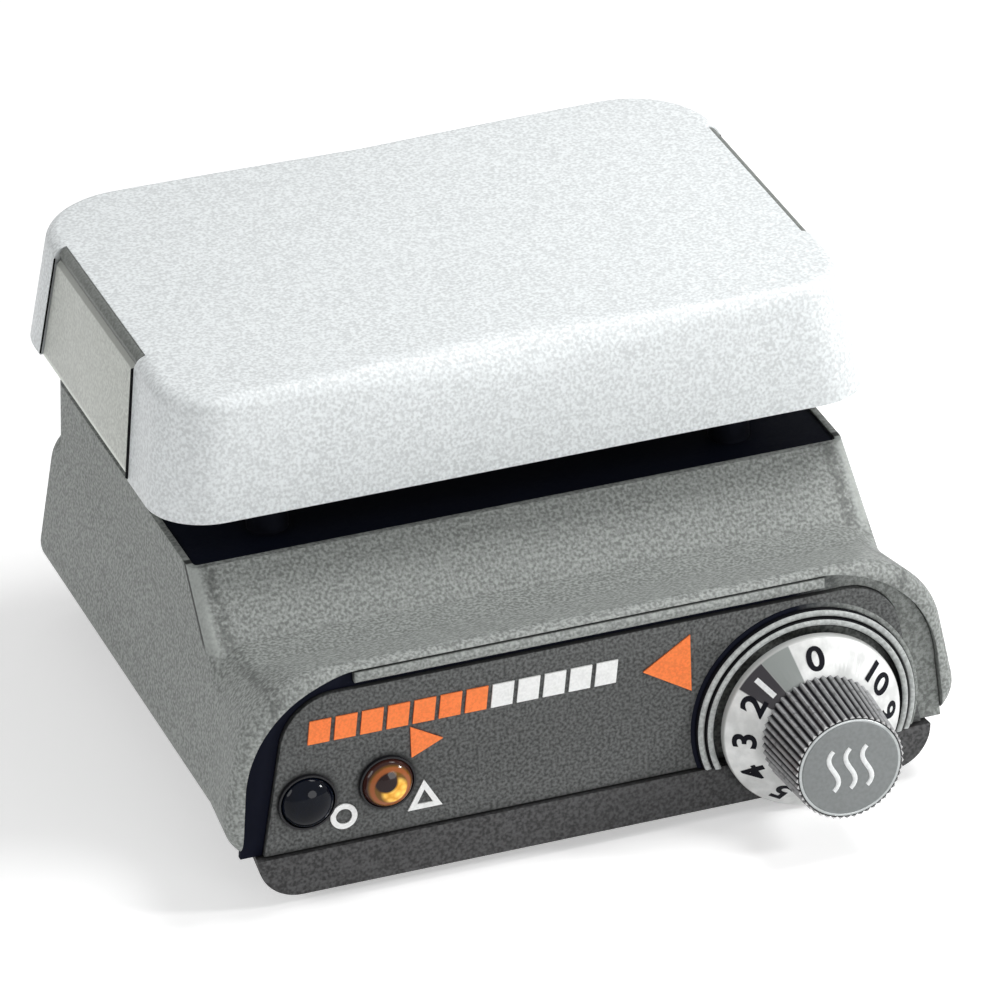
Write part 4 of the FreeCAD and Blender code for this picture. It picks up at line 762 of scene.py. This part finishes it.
class HOTPLATE_OT_cover(bpy.types.Operator):
    """Pressed cover with the bare end panels in its cut-outs"""

    bl_idname = "hot_plate.cover"
    bl_label = "Cover and end panels"

    def execute(self, context):
        edge = context.scene.hot_plate_sizes.edge_round
        dressed_copy("top_cover", "pressed_cover", "white_enamel", "cover enamel",
                     edge_width=edge, smooth_angle=30.0)
        for side, sign in (("left", -1), ("right", 1)):
            dressed_copy(f"end_panel_{side}", f"end_sheet_{side}", "end_sheet", "end sheet",
                         edge_width=0.5 * edge)
            # the strip between the cover's cut edge and the end sheet, dark as painted shade, and the dark
            # cords of painted shadow in the gaps beside the sheet
            strip = swept_strip(f"end_strip_{side}", [(sign * x * MM, z * MM) for x, z in STRIP_OUTLINE],
                                COVER_LOW.y + STRIP_FRONT * MM, COVER_HIGH.y - STRIP_REAR * MM)
            dress(strip, finish("end strip shade"))
            for place, top_y, foot_y, radius in GAP_SHADOWS:
                top = (sign * GAP_SHADOW_TOP[0] * MM, COVER_LOW.y + top_y * MM, GAP_SHADOW_TOP[1] * MM)
                foot = (sign * GAP_SHADOW_FOOT[0] * MM, COVER_LOW.y + foot_y * MM, GAP_SHADOW_FOOT[1] * MM)
                gap_shadow = seam_line(f"end_gap_shadow_{place}_{side}", top, foot, radius * MM)
                dress(gap_shadow, finish("gap shadow black"))
        return {"FINISHED"}


def trim_ring(name, radius, half_width, y, cut_height=None):
    """A flattened round ring on the dial's axis, maybe cut off level where the panel ends."""
    deselect_all()
    bpy.ops.mesh.primitive_torus_add(major_radius=radius, minor_radius=half_width, major_segments=160,
                                     minor_segments=12, rotation=(math.pi / 2, 0, 0),
                                     location=(DIAL_CENTRE.x, y, DIAL_CENTRE.z))
    ring = bpy.context.object
    ring.name = name
    place_in_mesh(ring)
    bpy.ops.object.mode_set(mode="EDIT")
    bpy.ops.mesh.select_all(action="SELECT")
    bpy.ops.transform.resize(value=(1.0, 0.55, 1.0), center_override=(DIAL_CENTRE.x, y, DIAL_CENTRE.z))
    if cut_height is not None:
        bpy.ops.mesh.bisect(plane_co=(0.0, 0.0, cut_height), plane_no=(0.0, 0.0, 1.0), use_fill=True,
                            clear_inner=True)
    bpy.ops.object.mode_set(mode="OBJECT")
    bpy.ops.object.shade_smooth_by_angle(angle=math.radians(50.0))
    return ring


class HOTPLATE_OT_control_panel(bpy.types.Operator):
    """Recessed control panel with its gasket, dial ring, trim rings, a dark ring of painted shadow and the
    lamp rings
    """

    bl_idname = "hot_plate.control_panel"
    bl_label = "Control panel"

    def execute(self, context):
        edge = context.scene.hot_plate_sizes.edge_round
        dressed_copy("control_panel", "panel_plate", "panel_grey", "panel paint", edge_width=0.6 * edge)
        dressed_copy("panel_gasket", "panel_seal", "black_gasket", "gasket rubber", edge_width=0.3 * edge)
        dressed_copy("dial_bezel", "dial_ring", "bezel_grey", "bezel paint", edge_width=0.3 * edge)
        low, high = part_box("dial_bezel")
        outer = (high.x - low.x) / 2
        for name, inset, width, depth in (("trim_ring_inner", 2.35 * MM, 0.60 * MM, 0.05 * MM),
                                          ("trim_ring_outer", 0.75 * MM, 0.62 * MM, 0.62 * MM)):
            ring = trim_ring(name, outer - inset, width, low.y + depth, low.z)
            dress(ring, finish("ring paint"))
        # a dark ring of painted shadow round the bezel, black on its left and grey on its right
        shadow_ring = trim_ring("trim_ring_shadow", outer + 0.35 * MM, 0.55 * MM, PANEL_LOW.y, low.z)
        dress(shadow_ring, finish("gasket rubber"))
        dressed_copy("lamp_bezels", "lamp_rings", "black_ring", "black ring")
        return {"FINISHED"}


def lens_dome(node, name, depth):
    """A polished dome that stands for a lens of the CAD model."""
    low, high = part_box(node)
    centre = (low + high) / 2
    radius = (high.x - low.x) / 2
    deselect_all()
    bpy.ops.mesh.primitive_uv_sphere_add(segments=64, ring_count=32, radius=radius,
                                         rotation=(math.pi / 2, 0, 0),
                                         location=(centre.x, low.y + depth - 0.4 * MM, centre.z))
    dome = bpy.context.object
    dome.name = name
    dome.scale = (1.0, 1.0, depth / radius)
    place_in_mesh(dome)
    bpy.ops.object.shade_smooth()
    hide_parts(node)
    return dome


class HOTPLATE_OT_lamps(bpy.types.Operator):
    """Amber and dark indicator lenses"""

    bl_idname = "hot_plate.lamps"
    bl_label = "Indicator lamps"

    def execute(self, context):
        dress(lens_dome("amber_lens", "amber_dome", 2.8 * MM), finish("amber lens"))
        dress(lens_dome("dark_lens", "dark_dome", 3.0 * MM), finish("dark lens"))
        return {"FINISHED"}


def joined(pieces, name):
    """Several pieces as one object."""
    activate(pieces[0])
    for piece in pieces:
        piece.select_set(True)
    bpy.ops.object.join()
    pieces[0].name = name
    return pieces[0]


def heat_wave(name, across, height):
    """One upright wavy line on the cap, raised a little above its face."""
    deselect_all()
    bpy.ops.curve.primitive_bezier_curve_add(location=(0, 0, 0))
    wave = bpy.context.object
    wave.name = name
    low, high = wave.data.splines[0].bezier_points
    bend = 0.38 * height
    for point, side in ((low, -1), (high, 1)):
        point.handle_left_type = point.handle_right_type = "FREE"
        point.co = (across, side * height / 2, 0.0)
        point.handle_left = (across - bend, side * height * 0.15, 0.0)
        point.handle_right = (across + bend, side * height * 0.15, 0.0)
    wave.data.bevel_depth = 0.48 * MM
    wave.data.bevel_resolution = 3
    wave.data.resolution_u = 16
    wave.data.use_fill_caps = True
    bpy.ops.object.convert(target="MESH")
    wave.rotation_euler = (math.pi / 2, 0.0, 0.0)
    wave.location = (CAP_CENTRE.x, CAP_LOW.y, CAP_CENTRE.z)
    wave.scale = (1.0, 1.0, 0.45)
    place_in_mesh(wave)
    bpy.ops.object.shade_smooth()
    return wave


class HOTPLATE_OT_knob(bpy.types.Operator):
    """Heat knob: fluted grip, cap and graduated disc"""

    bl_idname = "hot_plate.knob"
    bl_label = "Heat knob"

    def execute(self, context):
        edge = context.scene.hot_plate_sizes.edge_round
        dressed_copy("knob_dial", "dial_disc", "dial_white", "dial face", KNOB_BODY, edge_width=0.5 * edge)
        dressed_copy("knob_grip", "fluted_grip", "grip_black", "grip plastic", KNOB_BODY, smooth_angle=12.0)
        dressed_copy("knob_cap", "grip_cap", "cap_grey", "cap plastic", KNOB_BODY, edge_width=0.4 * edge)
        rim = trim_ring("cap_rim", CAP_RADIUS - 0.15 * MM, 0.32 * MM, CAP_LOW.y + 0.25 * MM)
        dress(rim, finish("cap rim"), KNOB_BODY)
        waves = [heat_wave(f"heat_wave_{number}", (number - 1) * 3.3 * MM, 8.4 * MM)
                 for number in range(3)]
        dress(joined(waves, "heat_waves"), finish("pale print"), KNOB_BODY)
        return {"FINISHED"}


def text_mesh(name, words, height):
    """A word as a thin mesh, centred on its own middle, in the plane that faces the front."""
    deselect_all()
    bpy.ops.object.text_add(location=(0, 0, 0))
    piece = bpy.context.object
    piece.name = name
    piece.data.body = words
    piece.data.align_x = "CENTER"
    piece.data.align_y = "CENTER"
    piece.data.size = height / 0.72
    piece.data.offset = 0.035 * height
    piece.data.extrude = 0.06 * MM
    piece.data.resolution_u = 6
    bpy.ops.object.convert(target="MESH")
    bpy.ops.object.origin_set(type="ORIGIN_GEOMETRY", center="BOUNDS")
    piece.location = (0, 0, 0)
    piece.rotation_euler = (math.pi / 2, 0, 0)
    piece.scale = (1.12, 1.0, 1.0)
    place_in_mesh(piece)
    return piece


def lay_on_dial(piece, angle, radius):
    """Stands a piece on the disc at an angle, its top pointing outwards, leaning with the disc's cone."""
    rise = DIAL_FACE_RISE
    run = DIAL_RADIUS - DIAL_INNER
    lean = math.atan2(rise, run)
    outwards = math.cos(angle), math.sin(angle)
    # the front of the cone: nearer to the user towards the grip
    y = DIAL_RIM_Y - rise * (DIAL_RADIUS - radius) / run
    turn = Matrix.Rotation(math.pi / 2 - angle, 4, "Y")
    tip = Matrix.Rotation(-lean, 4, "X")
    place = Matrix.Translation((DIAL_CENTRE.x + outwards[0] * radius, y,
                                DIAL_CENTRE.z + outwards[1] * radius))
    piece.matrix_world = place @ turn @ tip
    place_in_mesh(piece)


class HOTPLATE_OT_numerals(bpy.types.Operator):
    """Figures from 0 to 10 on the disc"""

    bl_idname = "hot_plate.numerals"
    bl_label = "Dial figures"

    def execute(self, context):
        sizes = context.scene.hot_plate_sizes
        middle = (DIAL_RADIUS + DIAL_INNER) / 2 - 0.35 * MM
        angles = [FIGURE_ZERO + number * sizes.numeral_step for number in range(11)]
        angles[1] = FIGURE_ONE
        dark, pale = [], []
        for value, angle in enumerate(angles):
            figure = text_mesh(f"figure_{value}", str(value), sizes.numeral_height)
            lay_on_dial(figure, angle, middle)
            (pale if value == 1 else dark).append(figure)
        dress(joined(dark, "dial_figures"), finish("black print"), KNOB_BODY)
        dress(joined(pale, "dial_figure_pale"), finish("pale print"), KNOB_BODY)
        return {"FINISHED"}


CARRIED_OVER = {
    "deck_plate": "deck black", "element_pan": "heat-dark steel", "insulation_block": "insulation wool",
    "element_clamps": "steel", "cover_studs": "heat-dark steel", "deck_spacers": "heat-dark steel",
    "stud_nuts": "steel", "deck_screws": "heat-dark steel", "heating_element": "element steel",
    "foot_screws": "steel", "base_screws": "steel", "amber_lamp": "lamp body",
    "dark_lamp": "lamp body", "control_shaft": "steel",
    "heat_control": "control body", "control_nut": "steel", "control_tabs": "brass",
    "power_inlet": "inlet plastic", "inlet_pins": "brass", "inlet_screws": "steel",
    "terminal_block": "block ceramic", "terminal_screws": "brass", "ground_stud": "steel",
    "ground_nut": "steel", "inner_leads": "lead jacket", "orange_marks": "orange print",
    "white_marks": "white print",
}


class HOTPLATE_OT_inner_pieces(bpy.types.Operator):
    """Finishes for the pieces that keep their CAD shape, most of them inside the housing"""

    bl_idname = "hot_plate.inner_pieces"
    bl_label = "Inner pieces"

    def execute(self, context):
        for node, name in CARRIED_OVER.items():
            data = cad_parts[node].data
            data.materials.clear()
            data.materials.append(finish(name))
        return {"FINISHED"}


def seen_directly(tree):
    """One for what the camera, a reflection or a clear material looks at, and nought for plain light."""
    path = tree.nodes.new("ShaderNodeLightPath")
    either = math_node(tree, "MAXIMUM", path.outputs["Is Camera Ray"], path.outputs["Is Glossy Ray"])
    return math_node(tree, "MAXIMUM", either, path.outputs["Is Transmission Ray"])


def area_lamp(name, place, target, size, power):
    deselect_all()
    bpy.ops.object.light_add(type="AREA", location=place)
    lamp = bpy.context.object
    lamp.name = name
    lamp.data.shape = "DISK"
    lamp.data.size = size
    lamp.data.energy = power
    lamp.rotation_euler = (Vector(target) - Vector(place)).to_track_quat("-Z", "Y").to_euler()
    return lamp


class HOTPLATE_OT_stage(bpy.types.Operator):
    """White bench top, soft lamps and the camera at the photograph's angle"""

    bl_idname = "hot_plate.stage"
    bl_label = "Stage, lamps and camera"

    def execute(self, context):
        self.lay_floor()
        self.light()
        self.set_camera(context)
        return {"FINISHED"}

    def lay_floor(self):
        deselect_all()
        bpy.ops.mesh.primitive_plane_add(size=12.0, location=(0, 0, 0))
        floor = bpy.context.object
        floor.name = "bench_top"
        material = bpy.data.materials.new("Bench white")
        material.use_nodes = True
        tree = material.node_tree
        shader = tree.nodes["Principled BSDF"]
        shader.inputs["Base Color"].default_value = (0.88, 0.88, 0.88, 1.0)
        shader.inputs["Roughness"].default_value = 0.9
        shader.inputs["Emission Color"].default_value = (1.0, 1.0, 1.0, 1.0)
        tree.links.new(math_node(tree, "MULTIPLY", seen_directly(tree), 0.42),
                       shader.inputs["Emission Strength"])
        floor.data.materials.append(material)

    def light(self):
        world = bpy.context.scene.world or bpy.data.worlds.new("World")
        bpy.context.scene.world = world
        world.use_nodes = True
        tree = world.node_tree
        tree.nodes.clear()
        out = tree.nodes.new("ShaderNodeOutputWorld")
        soft = tree.nodes.new("ShaderNodeBackground")
        soft.inputs["Color"].default_value = (1.0, 1.0, 1.0, 1.0)
        soft.inputs["Strength"].default_value = 0.27
        white = tree.nodes.new("ShaderNodeBackground")
        white.inputs["Strength"].default_value = 1.0
        pick = tree.nodes.new("ShaderNodeMixShader")
        tree.links.new(seen_directly(tree), pick.inputs["Fac"])
        tree.links.new(soft.outputs[0], pick.inputs[1])
        tree.links.new(white.outputs[0], pick.inputs[2])
        tree.links.new(pick.outputs[0], out.inputs["Surface"])
        for lamp in LAMPS:
            area_lamp(*lamp)

    def set_camera(self, context):
        view = context.scene.hot_plate_camera
        shift_right, shift_up = VIEW_SHIFT
        back = Vector((math.sin(view.azimuth) * math.cos(view.elevation),
                       -math.cos(view.azimuth) * math.cos(view.elevation), math.sin(view.elevation)))
        right = Vector((math.cos(view.azimuth), math.sin(view.azimuth), 0.0))
        up = back.cross(right)
        rolled_right = math.cos(view.roll) * right + math.sin(view.roll) * up
        rolled_up = -math.sin(view.roll) * right + math.cos(view.roll) * up
        eye = view.distance * back - shift_right * rolled_right - shift_up * rolled_up
        eye += Vector((0.0, VIEW_ORIGIN_Y, 0.0))
        data = bpy.data.cameras.new("Photograph view")
        data.lens = view.focal_length
        data.sensor_width = 36.0
        data.clip_start = 0.05
        data.clip_end = 50.0
        camera = bpy.data.objects.new("Photograph view", data)
        context.scene.collection.objects.link(camera)
        axes = Matrix((rolled_right, rolled_up, back)).transposed().to_4x4()
        camera.matrix_world = Matrix.Translation(eye) @ axes
        context.scene.camera = camera


class HOTPLATE_PT_panel(bpy.types.Panel):
    """Buttons that build each piece, and the sizes and colours they use"""

    bl_idname = "HOTPLATE_PT_panel"
    bl_label = "Laboratory Hot Plate"
    bl_space_type = "VIEW_3D"
    bl_region_type = "UI"
    bl_category = "Hot Plate"

    def draw(self, context):
        layout = self.layout
        for operator in OPERATORS:
            layout.operator(operator.bl_idname)
        for group in (context.scene.hot_plate_colours, context.scene.hot_plate_sizes,
                      context.scene.hot_plate_camera):
            box = layout.box()
            for name in group.bl_rna.properties.keys():
                if name not in ("rna_type", "name"):
                    box.prop(group, name)


OPERATORS = (
    HOTPLATE_OT_stage,
    HOTPLATE_OT_housing,
    HOTPLATE_OT_cover,
    HOTPLATE_OT_control_panel,
    HOTPLATE_OT_lamps,
    HOTPLATE_OT_knob,
    HOTPLATE_OT_numerals,
    HOTPLATE_OT_inner_pieces,
)
CLASSES = (HotPlateColours, HotPlateSizes, HotPlateCamera) + OPERATORS + (HOTPLATE_PT_panel,)


def register():
    for item in CLASSES:
        bpy.utils.register_class(item)
    bpy.types.Scene.hot_plate_colours = bpy.props.PointerProperty(type=HotPlateColours)
    bpy.types.Scene.hot_plate_sizes = bpy.props.PointerProperty(type=HotPlateSizes)
    bpy.types.Scene.hot_plate_camera = bpy.props.PointerProperty(type=HotPlateCamera)


def unregister():
    del bpy.types.Scene.hot_plate_camera
    del bpy.types.Scene.hot_plate_sizes
    del bpy.types.Scene.hot_plate_colours
    for item in reversed(CLASSES):
        bpy.utils.unregister_class(item)


def main():
    register()
    bpy.context.scene.view_settings.view_transform = "Standard"
    for operator in OPERATORS:
        group, name = operator.bl_idname.split(".")
        getattr(getattr(bpy.ops, group), name)()


if __name__ == "__main__":
    main()
